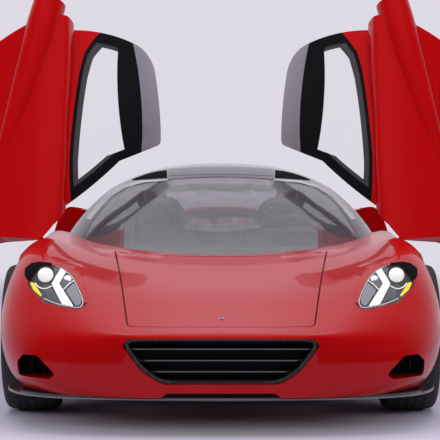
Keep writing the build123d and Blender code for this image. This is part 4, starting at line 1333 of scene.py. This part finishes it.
@dataclass
class SeatDress:
    """Shell, cushions, belt and stitching of one seat."""

    side: str
    x: float = 0.345
    cushions: tuple[Cushion, ...] = (
        Cushion("cushion", ((-0.045, 0.292), (0.10, 0.290), (0.24, 0.262), (0.33, 0.262)),
                (0.262, 0.272, 0.272, 0.25), 0.085, 0.7, (0.33, 0.62)),
        Cushion("backrest", ((0.398, 0.322), (0.440, 0.420), (0.492, 0.560), (0.545, 0.700), (0.585, 0.800)),
                (0.25, 0.272, 0.272, 0.26, 0.20), 0.080, 0.7, (0.25, 0.48, 0.70)),
        Cushion("headrest", ((0.583, 0.805), (0.600, 0.850), (0.617, 0.900), (0.624, 0.935)),
                (0.20, 0.215, 0.205, 0.17), 0.072, 0.8),
    )
    bolsters: tuple[Cushion, ...] = (
        Cushion("thigh_bolster", ((-0.035, 0.318), (0.12, 0.335), (0.28, 0.350), (0.36, 0.372)),
                (0.070, 0.078, 0.078, 0.070), 0.105, 0.85),
        Cushion("back_bolster",
                ((0.400, 0.400), (0.452, 0.520), (0.505, 0.660), (0.560, 0.790), (0.592, 0.850)),
                (0.066, 0.078, 0.078, 0.070, 0.052), 0.110, 0.85, inset=0.004),
    )
    bolster_out: float = 0.176
    # side view of the shell: y, z, half-width
    shell: Route = ((-0.058, 0.155, 0.205), (-0.058, 0.262, 0.213), (0.20, 0.232, 0.213),
                    (0.355, 0.235, 0.213), (0.415, 0.262, 0.213), (0.462, 0.400, 0.213),
                    (0.520, 0.555, 0.213), (0.578, 0.705, 0.205), (0.615, 0.815, 0.180),
                    (0.640, 0.925, 0.120), (0.655, 0.948, 0.085), (0.676, 0.930, 0.085),
                    (0.672, 0.868, 0.150), (0.612, 0.640, 0.205), (0.500, 0.235, 0.213),
                    (0.440, 0.162, 0.205), (0.30, 0.152, 0.205))
    shell_columns: tuple[float, ...] = (-1.0, -0.94, -0.5, 0.0, 0.5, 0.94, 1.0)
    shell_middle: Pair = (0.33, 0.42)
    shell_edge: float = 0.012       # how far the shell's outline is drawn in at its two sides
    shell_bevel: float = 0.004
    stitch_out: float = 0.098
    stitch_lines: tuple[Line, ...] = ( ((0.340, 0.360), (0.385, 0.420), (0.438, 0.560), (0.492, 0.700),
                                      (0.535, 0.790)), ((-0.02, 0.334), (0.10, 0.333), (0.24, 0.306),
                                      (0.31, 0.302)))
    stitch_spacing: float = 0.0085
    stitch_half: float = 0.0026
    thread_radius: float = 0.0008
    # route of the belt: outwards from the seat's middle, y, z
    belt: Route = ((0.105, 0.600, 0.905), (0.095, 0.535, 0.800), (0.045, 0.475, 0.660),
                   (-0.045, 0.395, 0.470), (-0.128, 0.330, 0.368))
    belt_half_width: float = 0.023
    belt_flatness: float = 0.06
    buckle_half_width: float = 0.016
    buckle_side: tuple[Pair, Pair] = ((0.300, 0.335), (0.352, 0.385))
    buckle_bevel: float = 0.004

    def __post_init__(self) -> None:
        """Works out the seat's place and node."""
        self.sign = 1 if self.side == "left" else -1
        self.middle = self.sign * self.x
        self.node = f"seat_{self.side}"

    def _fit(self, form: Form, name: str, finish: Finish, bevel: float = 0.0) -> None:
        """Fits a form that stands for the seat's plain solid."""
        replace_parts(fit(form.made(f"{self.node}_{name}", finish), bevel), self.node)

    def _pads(self) -> None:
        """Cushions in the middle and bolsters on both sides."""
        places = [(pad, pad.name, 0.0) for pad in self.cushions]
        for edge in (-1, 1):
            hand = "outer" if edge == self.sign else "inner"
            places += [(pad, f"{pad.name}_{hand}", edge * (self.bolster_out - pad.inset))
                       for pad in self.bolsters]
        for pad, name, out in places:
            form = pad.form(self.middle + out)
            piece = fit(form.made(f"{self.node}_{name}", LEATHER, PAD_CREASE_DEG))
            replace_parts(piece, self.node)

    def _shell(self) -> Form:
        """Hard bucket that holds the cushions.

        Returns:
            The form.
        """
        columns = []
        y0, z0 = self.shell_middle
        for share in self.shell_columns:
            drop = self.shell_edge if abs(share) == 1.0 else 0.0
            columns.append([Vector((self.middle + share * half, y, z))
                            + Vector((0, y0 - y, z0 - z)).normalized() * drop for y, z, half in self.shell])
        return Form().skin(columns)

    def _stitches(self, along: Repeat) -> None:
        """Red thread beside the seams of cushion and backrest.

        Args:
            along: Tree that repeats a stitch.
        """
        lines = [[Vector((self.middle + edge * self.stitch_out, y, z)) for y, z in line]
                 for edge in (-1, 1) for line in self.stitch_lines]
        piece = along.apply(f"{self.node}_stitches", edges_object("stitch_paths", lines), THREAD,
                            item=stitch(self.stitch_half, self.thread_radius), spacing=self.stitch_spacing)
        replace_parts(fit(piece), self.node)

    def _belt(self) -> None:
        """Flat shoulder and lap strap with a buckle."""
        route = [(self.middle + self.sign * out, y, z) for out, y, z in self.belt]
        strap = Form().tube(smooth_path(route, steps=6), self.belt_half_width, 10, flat=self.belt_flatness)
        self._fit(strap, "belt", BELT)
        x, half = route[-1][0], self.buckle_half_width
        low, high = self.buckle_side
        self._fit(Form().box((x - half, *low), (x + half, *high)), "buckle", TRIM_BLACK,
                  self.buckle_bevel)

    def build(self, along: Repeat) -> None:
        """Fits the seat's pieces in place of the plain solid.

        Args:
            along: The tree that repeats an item along a path.
        """
        self._pads()
        self._fit(self._shell(), "shell", CARBON, self.shell_bevel)
        self._stitches(along)
        self._belt()


@dataclass
class Binnacle:
    """Hood over three round dials with blank faces."""

    x: float = 0.345
    foot: float = 0.700
    hood: Route = ((-0.500, 0.150, 0.778), (-0.470, 0.165, 0.797), (-0.420, 0.168, 0.802),
                   (-0.384, 0.160, 0.796))      # y, half-width, top
    side_power: float = 0.6
    top_power: float = 0.7
    steps: int = 24
    skirt_share: float = 0.96       # half-width of the hood at its foot, as a share of its width above
    skirt_drop: float = 0.001
    bevel: float = 0.003
    dials: Line = ((0.262, 0.030), (0.345, 0.039), (0.428, 0.030))      # x, radius
    dial_y: float = -0.3825
    dial_z: float = 0.742
    ring_width: float = 0.004
    ring_height: float = 0.005
    face_height: float = 0.002
    hand_y: float = -0.379
    hand_half: float = 0.001
    hand_foot: float = -0.002
    hand_reach: Pair = (-0.3, 0.75)     # across and up, as shares of the dial's radius
    hand_thickness: float = 0.001

    def _ring(self, y: float, wide: float, high: float) -> list[Vector]:
        """One section of the hood.

        Args:
            y: Its place.
            wide: Its half-width.
            high: Its top.

        Returns:
            Its points.
        """
        ring = []
        for step in range(self.steps + 1):
            angle = math.pi * step / self.steps
            out = math.copysign(abs(math.cos(angle)) ** self.side_power, math.cos(angle))
            rise = (high - self.foot) * abs(math.sin(angle)) ** self.top_power
            ring.append(Vector((self.x + wide * out, y, self.foot + rise)))
        return ring + [Vector((self.x + edge * wide * self.skirt_share, y, self.foot - self.skirt_drop))
                       for edge in (-1, 1)]

    def build(self) -> None:
        """Fits the hood and the dials."""
        hood = Form().skin([self._ring(*section) for section in self.hood])
        fit(hood.made("binnacle_hood", TRIM_BLACK), self.bevel)
        rings, faces, hands = Form(), Form(), Form()
        backwards, (across, up) = Vector((0, 1, 0)), self.hand_reach
        for x, radius in self.dials:
            centre, outer = (x, self.dial_y, self.dial_z), radius + self.ring_width
            rings.lathe([(radius, 0.0), (outer, 0.0), (outer, self.ring_height), (radius, self.ring_height)],
                        centre, backwards, steps=40)
            faces.lathe([(0.0, 0.0), (radius, 0.0), (radius, self.face_height), (0.0, self.face_height)],
                        centre, backwards, steps=40)
            corners = ((-self.hand_half, self.hand_foot), (self.hand_half, self.hand_foot),
                       (across * radius, up * radius))
            hands.slab([Vector((x + out, self.hand_y, self.dial_z + rise)) for out, rise in corners],
                       Vector((0, -self.hand_thickness, 0)))
        for name, form, finish in (("rings", rings, CHROME), ("faces", faces, SCREEN_DARK),
                                   ("hands", hands, LAMP_WHITE)):
            fit(form.made(f"dial_{name}", finish))


@dataclass
class SteeringWheel:
    """Hub pad, paddles and rim stitches of the steering wheel."""

    centre: Point = (0.345, -0.170, 0.700)
    tilt_deg: float = 22.0
    hub: Line = ((-0.062, 0.032), (0.062, 0.032), (0.048, -0.045), (-0.048, -0.045))
    hub_rounding: float = 0.02
    hub_dome: Line = ((1.0, 0.0), (1.0, 0.016), (0.86, 0.023), (0.4, 0.026))      # share of its size, rise
    paddle: Line = ((0.055, 0.018), (0.112, 0.062), (0.118, 0.020), (0.110, -0.030), (0.055, -0.012))
    paddle_depth: float = -0.022
    paddle_thickness: float = 0.004
    # lift of each end of a paddle's stalk, and its corner there in the car's own axes
    stalk: tuple[tuple[float, Point], ...] = ((-0.024, (-0.012, -0.004, -0.006)),
                                              (-0.008, (0.012, 0.002, 0.006)))
    paddle_bevel: float = 0.001
    stitch_steps: int = 72
    stitch_circle: float = 0.1505
    stitch_half: float = 0.0022
    thread_radius: float = 0.0011
    stitch_spacing: float = 0.009

    def __post_init__(self) -> None:
        """Works out the wheel's own directions."""
        tilt = math.radians(self.tilt_deg)
        self.axis = Vector((0, math.cos(tilt), math.sin(tilt)))
        self.up = Vector((0, -math.sin(tilt), math.cos(tilt)))

    def _at(self, x: float, z: float, lift: float = 0.0) -> Vector:
        """Point at a place in the plane of the wheel, or above it."""
        return Vector(self.centre) + Vector((x, 0, 0)) + self.up * z + self.axis * lift

    def build(self, along: Repeat) -> None:
        """Fits every piece of the wheel.

        Args:
            along: The tree that repeats an item along a path.
        """
        pad = [self._at(x, z) for x, z in rounded(self.hub, self.hub_rounding)]
        middle = sum(pad, Vector()) / len(pad)
        rings = [[middle + (point - middle) * share + self.axis * rise for point in pad]
                 for share, rise in self.hub_dome]
        fit(Form().skin(rings).made("steering_hub_pad", LEATHER), body="steering_wheel")
        paddles = Form()
        for sign in (-1, 1):
            paddles.slab([self._at(sign * x, z, self.paddle_depth) for x, z in self.paddle],
                         -self.axis * self.paddle_thickness)
            root = sign * self.paddle[0][0]
            paddles.box(*(tuple(self._at(root, 0, lift) + Vector(corner)) for lift, corner in self.stalk))
        fit(paddles.made("shift_paddles", STEEL), self.paddle_bevel, "steering_wheel")
        angles = [math.tau * step / self.stitch_steps for step in range(self.stitch_steps)]
        rim = [self._at(self.stitch_circle * math.cos(a), self.stitch_circle * math.sin(a)) for a in angles]
        piece = along.apply("steering_rim_stitches", edges_object("rim_path", [rim], True), THREAD,
                            item=stitch(self.stitch_half, self.thread_radius), spacing=self.stitch_spacing)
        fit(piece, body="steering_wheel")


@dataclass
class DashboardDress:
    """Slatted air vents and a blank display in the dashboard."""

    vents: tuple[float, ...] = (-0.56, -0.16, 0.14, 0.60)
    vent_half: float = 0.052
    vent_heights: Pair = (0.634, 0.682)
    vent_rounding: float = 0.012
    vent_y: float = -0.4215
    vent_slope: float = 0.30
    frame_radius: float = 0.0035
    slat_line: Line = ((-0.4225, 0.642), (-0.411, 0.676))      # y, z
    slat_half: Point = (0.0012, 0.047, 0.006)
    slat_spacing: float = 0.0085
    display: Line = ((-0.085, 0.560), (0.085, 0.560), (0.085, 0.668), (-0.085, 0.668))
    display_rounding: float = 0.010
    display_foot: Pair = (-0.500, 0.50)     # y and z from which it slopes
    display_slope: float = 0.62
    display_thickness: float = 0.030
    display_bevel: float = 0.002

    def build(self, along: Repeat) -> None:
        """Fits the vents and the display.

        Args:
            along: The tree that repeats an item along a path.
        """
        frames, half, (low, high) = Form(), self.vent_half, self.vent_heights
        for x in self.vents:
            corners = ((x - half, low), (x + half, low), (x + half, high), (x - half, high))
            frames.tube([Vector((u, self.vent_y + self.vent_slope * (w - low), w))
                         for u, w in rounded(corners, self.vent_rounding)], self.frame_radius, looped=True)
        fit(frames.made("vent_frames", CHROME))
        lines = [[Vector((x, y, z)) for y, z in self.slat_line] for x in self.vents]
        slat = Form().box(tuple(-size for size in self.slat_half), self.slat_half).made("slat_item")
        fit(along.apply("vent_slats", edges_object("vent_lines", lines), TRIM_BLACK, item=slat,
                        spacing=self.slat_spacing))
        y, foot = self.display_foot
        outline = [Vector((x, y + self.display_slope * (z - foot), z))
                   for x, z in rounded(self.display, self.display_rounding)]
        plate = Form().slab(outline, Vector((0, -self.display_thickness, 0)))
        fit(plate.made("centre_display", SCREEN_DARK), self.display_bevel)


@dataclass
class ConsoleDress:
    """Gear switches, knob, cup rings and arm pad on the console."""

    key_rows: int = 4
    key_columns: Pair = (-0.026, 0.026)
    key_start: float = -0.36
    key_pitch: float = 0.036
    key_half: Pair = (0.019, 0.013)
    key_heights: Pair = (0.338, 0.346)
    key_bevel: float = 0.002
    knob: Line = ((0.0, 0.0), (0.027, 0.0), (0.027, 0.020), (0.024, 0.025), (0.0, 0.026))
    knob_place: Point = (0.0, -0.15, 0.338)
    cup: Line = ((0.033, 0.0), (0.039, 0.0), (0.039, 0.005), (0.033, 0.005))
    cup_places: Route = ((0.0, -0.045, 0.339), (0.0, 0.045, 0.339))
    arm_pad: Cushion = Cushion("console_arm_pad",
                               ((0.12, 0.352), (0.25, 0.352), (0.40, 0.352), (0.55, 0.352)),
                               (0.15, 0.165, 0.165, 0.15), 0.040, 0.8, (0.5,))

    def build(self) -> None:
        """Fits every piece of the console."""
        keys, cups, upwards = Form(), Form(), Vector((0, 0, 1))
        (wide, long), (low, high) = self.key_half, self.key_heights
        for row in range(self.key_rows):
            y = self.key_start + row * self.key_pitch
            for x in self.key_columns:
                keys.box((x - wide, y - long, low), (x + wide, y + long, high))
        fit(keys.made("console_keys", ALLOY), self.key_bevel)
        knob = Form().lathe(self.knob, self.knob_place, upwards, steps=36)
        fit(knob.made("console_knob", CHROME))
        for place in self.cup_places:
            cups.lathe(self.cup, place, upwards, steps=40)
        fit(cups.made("cup_rings", CHROME))
        pad = self.arm_pad
        fit(pad.form(0.0).made(pad.name, LEATHER, PAD_CREASE_DEG))


@dataclass
class Footwells:
    """Two hung pedals, a foot rest and a carpet mat on each side of the console."""

    pedals: tuple[tuple[float, ...], ...] = ((0.33, 0.225, 0.325, 0.028), (0.46, 0.205, 0.345, 0.024))
    pedal_y: float = -0.905
    pedal_lean: float = 0.02
    pedal_thickness: float = 0.008
    arm: Line = ((-0.893, -0.01), (-0.93, 0.09), (-0.965, 0.17))     # y, above the pedal's top
    arm_radius: float = 0.007
    foot_rest: Route = ((0.185, -0.935, 0.20), (0.245, -0.915, 0.36))
    pedal_bevel: float = 0.002
    mat: Line = ((0.12, -0.90), (0.58, -0.90), (0.58, -0.12), (0.12, -0.12))
    mat_rounding: float = 0.05
    mat_top: float = 0.1615
    mat_thickness: float = 0.011
    mat_bevel: float = 0.003

    def build(self) -> None:
        """Fits the pedals and the mats."""
        pedals, thick = Form(), self.pedal_thickness
        for x, low, high, wide in self.pedals:
            corners = ((-wide, 0.0), (wide, 0.0), (wide, thick), (-wide, thick))
            pedals.skin([[Vector((x + out, self.pedal_y + lean + lift, z)) for out, lift in corners]
                         for lean, z in ((0.0, low), (self.pedal_lean, high))])
            pedals.tube([Vector((x, y, high + rise)) for y, rise in self.arm], self.arm_radius)
        pedals.box(*self.foot_rest)
        fit(pedals.made("pedals", ALLOY), self.pedal_bevel)
        for side, sign in reversed(SIDES):
            corners = [(-sign * x, y) for x, y in self.mat]
            outline = [Vector((x, y, self.mat_top)) for x, y in rounded(corners, self.mat_rounding)]
            mat = Form().slab(outline, Vector((0, 0, -self.mat_thickness)))
            fit(mat.made(f"floor_mat_{side}", CARPET), self.mat_bevel)


# ---------- doors
@dataclass
class DoorDress:
    """Pad, handles, speaker and latch of one door, drawn with the door shut and then opened."""

    side: str
    open_deg: float = 84.5
    inner_x: float = 0.752
    # routes on the door's inner face: inwards from it, y, z
    handle: Route = ((0.001, -0.22, 0.455), (0.034, -0.19, 0.462), (0.040, -0.05, 0.478),
                     (0.034, 0.09, 0.492), (0.001, 0.12, 0.498))
    handle_radius: float = 0.010
    release: Route = ((0.006, -0.30, 0.552), (0.014, -0.26, 0.556), (0.016, -0.20, 0.560))
    release_radius: float = 0.006
    release_flatness: float = 0.5
    pad_line: Route = ((0.001, -0.33, 0.395), (0.001, -0.10, 0.402), (0.001, 0.20, 0.418),
                       (0.001, 0.46, 0.440))
    pad_widths: tuple[float, ...] = (0.024, 0.030, 0.030, 0.024)
    pad_depth: float = 0.110
    pad_seams: Pair = (0.33, 0.66)
    speaker_profile: Line = ((0.0, 0.0), (0.062, 0.0), (0.062, 0.003), (0.055, 0.006), (0.0, 0.008))
    speaker_place: Point = (-0.001, 0.40, 0.505)
    latch: Route = ((0.786, 0.652, 0.600), (0.786, 0.6706, 0.660), (0.826, 0.6706, 0.660),
                    (0.826, 0.652, 0.600))
    latch_thickness: float = 0.004
    latch_bevel: float = 0.001

    def _on_face(self, points: Sequence[Point]) -> list[Vector]:
        """Points given by their distance inwards from the door's inner face."""
        return [Vector((self.inner_x - inward, y, z)) for inward, y, z in points]

    def build(self) -> None:
        """Fits the door's pieces."""
        body = f"door_{self.side}"
        joint = next(j for j in frame["joints"] if j["name"] == f"{body}_hinge")
        handle = Form().tube(smooth_path(self._on_face(self.handle)), self.handle_radius, sides=10)
        pad = Form().pad(self._on_face(self.pad_line), self.pad_widths, self.pad_depth, self.pad_seams)
        release = Form().tube(self._on_face(self.release), self.release_radius, flat=self.release_flatness)
        speaker = Form().lathe(self.speaker_profile, self._on_face([self.speaker_place])[0],
                               Vector((-1, 0, 0)))
        latch = Form().slab([Vector(point) for point in self.latch], Vector((0, -self.latch_thickness, 0)))
        # name, form drawn on the left door, finish, slot, bevel
        pieces = (
            ("pull_handle", handle, LEATHER, "black_trim", 0.0),
            ("pad", pad, LEATHER, "black_leather", 0.0),
            ("release_lever", release, CHROME, "black_trim", 0.0),
            ("speaker", speaker, MESH_BLACK, "black_trim", 0.0),
            ("latch_plate", latch, ALLOY, "alloy", self.latch_bevel),
        )
        for name, form, finish, slot, bevel in pieces:
            form = form if self.side == "left" else form.mirrored()
            form.turned(-self.open_deg, joint["pos_m"], Vector(joint["axis"]))
            fit(form.made(f"{body}_{name}", finish), bevel, body)


# ---------- tail and engine bay
@dataclass
class TailTrim:
    """Lamp rings, pipe linings and grille slats of the tail."""

    lamp_centres: Line = ((0.640, 0.688), (0.722, 0.688))
    search_from: float = 3.0
    ring_section: Line = ((0.027, -0.004), (0.033, -0.004), (0.033, 0.002), (0.027, 0.002))
    core_profile: Line = ((0.0, -0.004), (0.017, -0.004), (0.017, 0.0015), (0.0, 0.0025))
    pipe_section: Line = ((0.0440, 0.0), (0.0508, 0.0), (0.0508, 0.0015), (0.0475, 0.0035), (0.0440, 0.0015))
    pipe_place: Point = (0.15, 2.2425, 0.430)
    slat_low: Point = (-0.0015, -0.004, -0.037)
    slat_high: Point = (0.0015, 0.006, 0.037)
    slat_line: tuple[Point, Point] = ((-0.50, 2.216, 0.645), (0.50, 2.216, 0.645))
    slat_spacing: float = 0.02

    def build(self, along: Repeat) -> None:
        """Fits every piece of the tail.

        Args:
            along: The tree that repeats an item along a path.
        """
        lenses = Skin("tail_lamps").tree
        rings, cores, pipes = Form(), Form(), Form()
        backwards = Vector((0, 1, 0))
        for sign in (1, -1):
            for x, z in self.lamp_centres:
                lens, _, _, _ = lenses.ray_cast(Vector((sign * x, self.search_from, z)), -backwards)
                centre = (sign * x, lens.y, z)
                rings.lathe(self.ring_section, centre, backwards, steps=40)
                cores.lathe(self.core_profile, centre, backwards, steps=32)
            x, y, z = self.pipe_place
            pipes.lathe(self.pipe_section, (sign * x, y, z), backwards)
        fit(rings.made("tail_lamp_rings", RED_GLOW))
        fit(cores.made("tail_lamp_cores", LAMP_WHITE))
        fit(pipes.made("exhaust_rolled_edges", CHROME))
        slat = Form().box(self.slat_low, self.slat_high).made("slat_item")
        line = edges_object("tail_line", [[Vector(end) for end in self.slat_line]])
        slats = along.apply("rear_grille_slats", line, TRIM_BLACK, item=slat, spacing=self.slat_spacing)
        fit(slats)


@dataclass
class EngineBay:
    """Ribs, cover, hoses and bolts on the engine, seen through the rear glass."""

    rib_count: int = 7
    rib_start: float = 0.985
    rib_pitch: float = 0.036
    rib_middle: Pair = (0.125, 0.778)       # x, z
    rib_size: Pair = (0.066, 0.050)
    rib_steps: int = 12
    rib_radius: float = 0.0035
    cover: tuple[Point, Point] = ((-0.048, 0.97, 0.648), (0.048, 1.24, 0.745))
    cover_bevel: float = 0.008
    hose: Route = ((0.19, 1.24, 0.70), (0.215, 1.31, 0.69), (0.17, 1.40, 0.62), (0.12, 1.46, 0.53))
    hose_radius: float = 0.022
    bolt_profile: Line = ((0.0, 0.0), (0.008, 0.0), (0.008, 0.007), (0.0, 0.008))
    bolt_places: Route = ((0.222, 0.975, 0.6495), (0.222, 1.105, 0.6495), (0.222, 1.235, 0.6495))

    def _rib(self, sign: int, number: int) -> list[Vector]:
        """Arch of one rib over a plenum.

        Args:
            sign: 1 on the left, -1 on the right.
            number: Place of the rib in its row.

        Returns:
            The points of the arch.
        """
        (x, z), (wide, high) = self.rib_middle, self.rib_size
        angles = [math.pi * step / self.rib_steps for step in range(self.rib_steps + 1)]
        return [Vector((sign * x + wide * math.cos(a), self.rib_start + number * self.rib_pitch,
                        z + high * math.sin(a))) for a in angles]

    def build(self) -> None:
        """Fits every piece of the engine bay."""
        ribs, hoses, bolts = Form(), Form(), Form()
        for sign in (1, -1):
            for number in range(self.rib_count):
                ribs.tube(self._rib(sign, number), self.rib_radius, sides=6)
            route = smooth_path([(sign * x, y, z) for x, y, z in self.hose], steps=6)
            hoses.tube(route, self.hose_radius, sides=12)
            for x, y, z in self.bolt_places:
                bolts.lathe(self.bolt_profile, (sign * x, y, z), Vector((0, 0, 1)), steps=6)
        fit(ribs.made("plenum_ribs", PLENUM_RED))
        fit(Form().box(*self.cover).made("engine_middle_cover", STEEL), self.cover_bevel)
        fit(hoses.made("engine_hoses", RUBBER))
        fit(bolts.made("engine_bolts", CHROME))


# ---------- camera, floor and lamps
def emptied_tree(owner: bpy.types.World | bpy.types.Material) -> Tree:
    """Node tree of the world or a material, with nothing in it."""
    owner.use_nodes = True
    owner.node_tree.nodes.clear()
    return Tree(owner.node_tree)


@dataclass
class Studio:
    """Camera, pale floor, backdrop and soft lamps."""

    distance: float = 9.6
    eye_height: float = 1.0
    lens: float = 150.8
    sensor: float = 36.0
    clip: Pair = (0.1, 100.0)
    tilt_deg: float = 1.0
    shift_x: float = -0.0023
    backdrop: Colour = (0.733, 0.703, 0.779)
    sky: Colour = (0.9, 0.89, 0.94)
    ambient: float = 0.50
    front_gloss: float = 0.03           # share of the backdrop that shows in gloss in front of the car
    gloss_ramp: Pair = (-0.1, 0.92)     # directions from front to back between which it grows to one
    floor_radius: float = 14.0
    floor_segments: int = 96
    floor_colour: Colour = (0.55, 0.52, 0.66)
    floor_rim: Pair = (0.3, 0.95)       # shares of the radius between which the floor fades out
    # radii between which the floor goes from darker near the car, a painted contact shadow, to lightened by a
    # veil of the backdrop
    painted_shadow_ramp: Pair = (1.55, 2.45)
    veil_beyond_painted_shadow: float = 0.22
    # name, place, aim, size, power
    lamps: tuple[tuple[str, Point, Point, Pair, float], ...] = (
        ("ceiling_lamp", (0, -1.2, 5.0), (0, -0.6, 0), (5.5, 5.5), 210),
        ("front_lamp", (0, -8.5, 3.4), (0, -1.5, 0.5), (5.0, 1.6), 90),
        ("left_lamp", (5.5, -2.0, 2.2), (0, -0.5, 0.6), (4.0, 1.6), 60),
        ("right_lamp", (-5.5, -2.0, 2.2), (0, -0.5, 0.6), (4.0, 1.6), 60),
        ("back_lamp", (0, 6.5, 3.0), (0, 1.0, 0.6), (4.0, 1.6), 70),
    )

    def camera(self) -> None:
        """Adds the camera in front of the car."""
        data = bpy.data.cameras.new("camera")
        data.lens, data.sensor_width = self.lens, self.sensor
        data.shift_x = self.shift_x
        data.clip_start, data.clip_end = self.clip
        made = linked("camera", data)
        made.location = (0.0, -self.distance, self.eye_height)
        made.rotation_euler = (math.radians(90 - self.tilt_deg), 0.0, 0.0)
        bpy.context.scene.camera = made

    def world(self) -> None:
        """Sets a soft ambient light behind a pale backdrop, which is weaker in gloss in front of the car."""
        made = bpy.data.worlds.new("studio")
        bpy.context.scene.world = made
        tree = emptied_tree(made)
        path = tree.node("ShaderNodeLightPath").outputs
        glossy = path["Is Glossy Ray"]
        parts = tree.node("ShaderNodeSeparateXYZ", tree.node("ShaderNodeTexCoord").outputs["Generated"])
        level = tree.ramp(parts.outputs["Y"], self.gloss_ramp, (self.front_gloss, 1.0))
        in_gloss = tree.maths("MULTIPLY", level, glossy)
        direct = tree.maths("ADD", path["Is Camera Ray"], path["Is Transmission Ray"], use_clamp=True)
        share = tree.maths("ADD", direct, in_gloss, use_clamp=True)
        strength = tree.node("ShaderNodeMapRange", Value=glossy, To_Min=self.ambient, To_Max=0.0)
        soft = tree.node("ShaderNodeBackground", Color=(*self.sky, 1.0), Strength=strength.outputs["Result"])
        pale = tree.node("ShaderNodeBackground", Color=(*self.backdrop, 1.0))
        mix = tree.node("ShaderNodeMixShader", share, soft.outputs[0], pale.outputs[0])
        tree.node("ShaderNodeOutputWorld", Surface=mix.outputs[0])

    def floor(self) -> None:
        """Lays a round floor whose rim fades into the backdrop, and which is kept darker near the car as a
        painted shadow.
        """
        shape = bmesh.new()
        bmesh.ops.create_circle(shape, cap_ends=True, radius=self.floor_radius, segments=self.floor_segments)
        data = bpy.data.meshes.new("studio_floor")
        shape.to_mesh(data)
        shape.free()
        made = linked("studio_floor", data)
        finish = bpy.data.materials.new("studio_floor")
        tree = emptied_tree(finish)
        place = tree.node("ShaderNodeTexCoord").outputs["Object"]
        away = tree.node("ShaderNodeVectorMath", place, operation="LENGTH").outputs["Value"]
        start, end = (share * self.floor_radius for share in self.floor_rim)
        # the darker floor near the car is a painted shadow; further out the backdrop shows through it
        fade_and_painted_shadow = tree.maths("MAXIMUM", tree.ramp(away, (start, end)),
                          tree.ramp(away, self.painted_shadow_ramp, (0.0, self.veil_beyond_painted_shadow)))
        matt = tree.node("ShaderNodeBsdfDiffuse", Color=(*self.floor_colour, 1.0))
        clear = tree.node("ShaderNodeBsdfTransparent")
        mix = tree.node("ShaderNodeMixShader", fade_and_painted_shadow, matt.outputs[0], clear.outputs[0])
        tree.node("ShaderNodeOutputMaterial", Surface=mix.outputs[0])
        data.materials.append(finish)

    def lamp(self, name: str, place: Point, aim: Point, size: Pair, power: float) -> None:
        """Adds one soft rectangular lamp.

        Args:
            name: Name of the lamp.
            place: Where it hangs.
            aim: The point it faces.
            size: Width and height.
            power: Radiant power in watts.
        """
        data = bpy.data.lights.new(name, "AREA")
        data.shape, data.size, data.size_y, data.energy = "RECTANGLE", *size, power
        made = linked(name, data)
        made.visible_glossy = False
        made.location = place
        made.rotation_euler = (Vector(aim) - Vector(place)).to_track_quat("-Z", "Y").to_euler()

    def build(self) -> None:
        """Sets up everything round the car."""
        bpy.context.scene.view_settings.view_transform = "Standard"
        self.camera()
        self.world()
        self.floor()
        for lamp in self.lamps:
            self.lamp(*lamp)


def main() -> None:
    """Builds the studio, the finishes and every fitted piece in order."""
    logging.basicConfig(level=logging.INFO, format="%(message)s")
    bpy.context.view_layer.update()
    Studio().build()
    dress_nodes()
    ring, along = Repeat(Layout.RING), Repeat(Layout.PATH)
    HeadlampUnit().build()
    ScreenTrim().build()
    NoseTrim().build(along)
    for side in ("left", "right"):
        WheelDress("front", side, radius=0.330, width=0.245, rim=0.241, x=0.838, y=-1.300).build(ring)
        WheelDress("rear", side, radius=0.345, width=0.305, rim=0.254, x=0.812, y=1.350).build(ring)
        SeatDress(side).build(along)
        DoorDress(side).build()
    Binnacle().build()
    SteeringWheel().build(along)
    DashboardDress().build(along)
    ConsoleDress().build()
    Footwells().build()
    TailTrim().build(along)
    EngineBay().build()


if __name__ == "__main__":
    main()
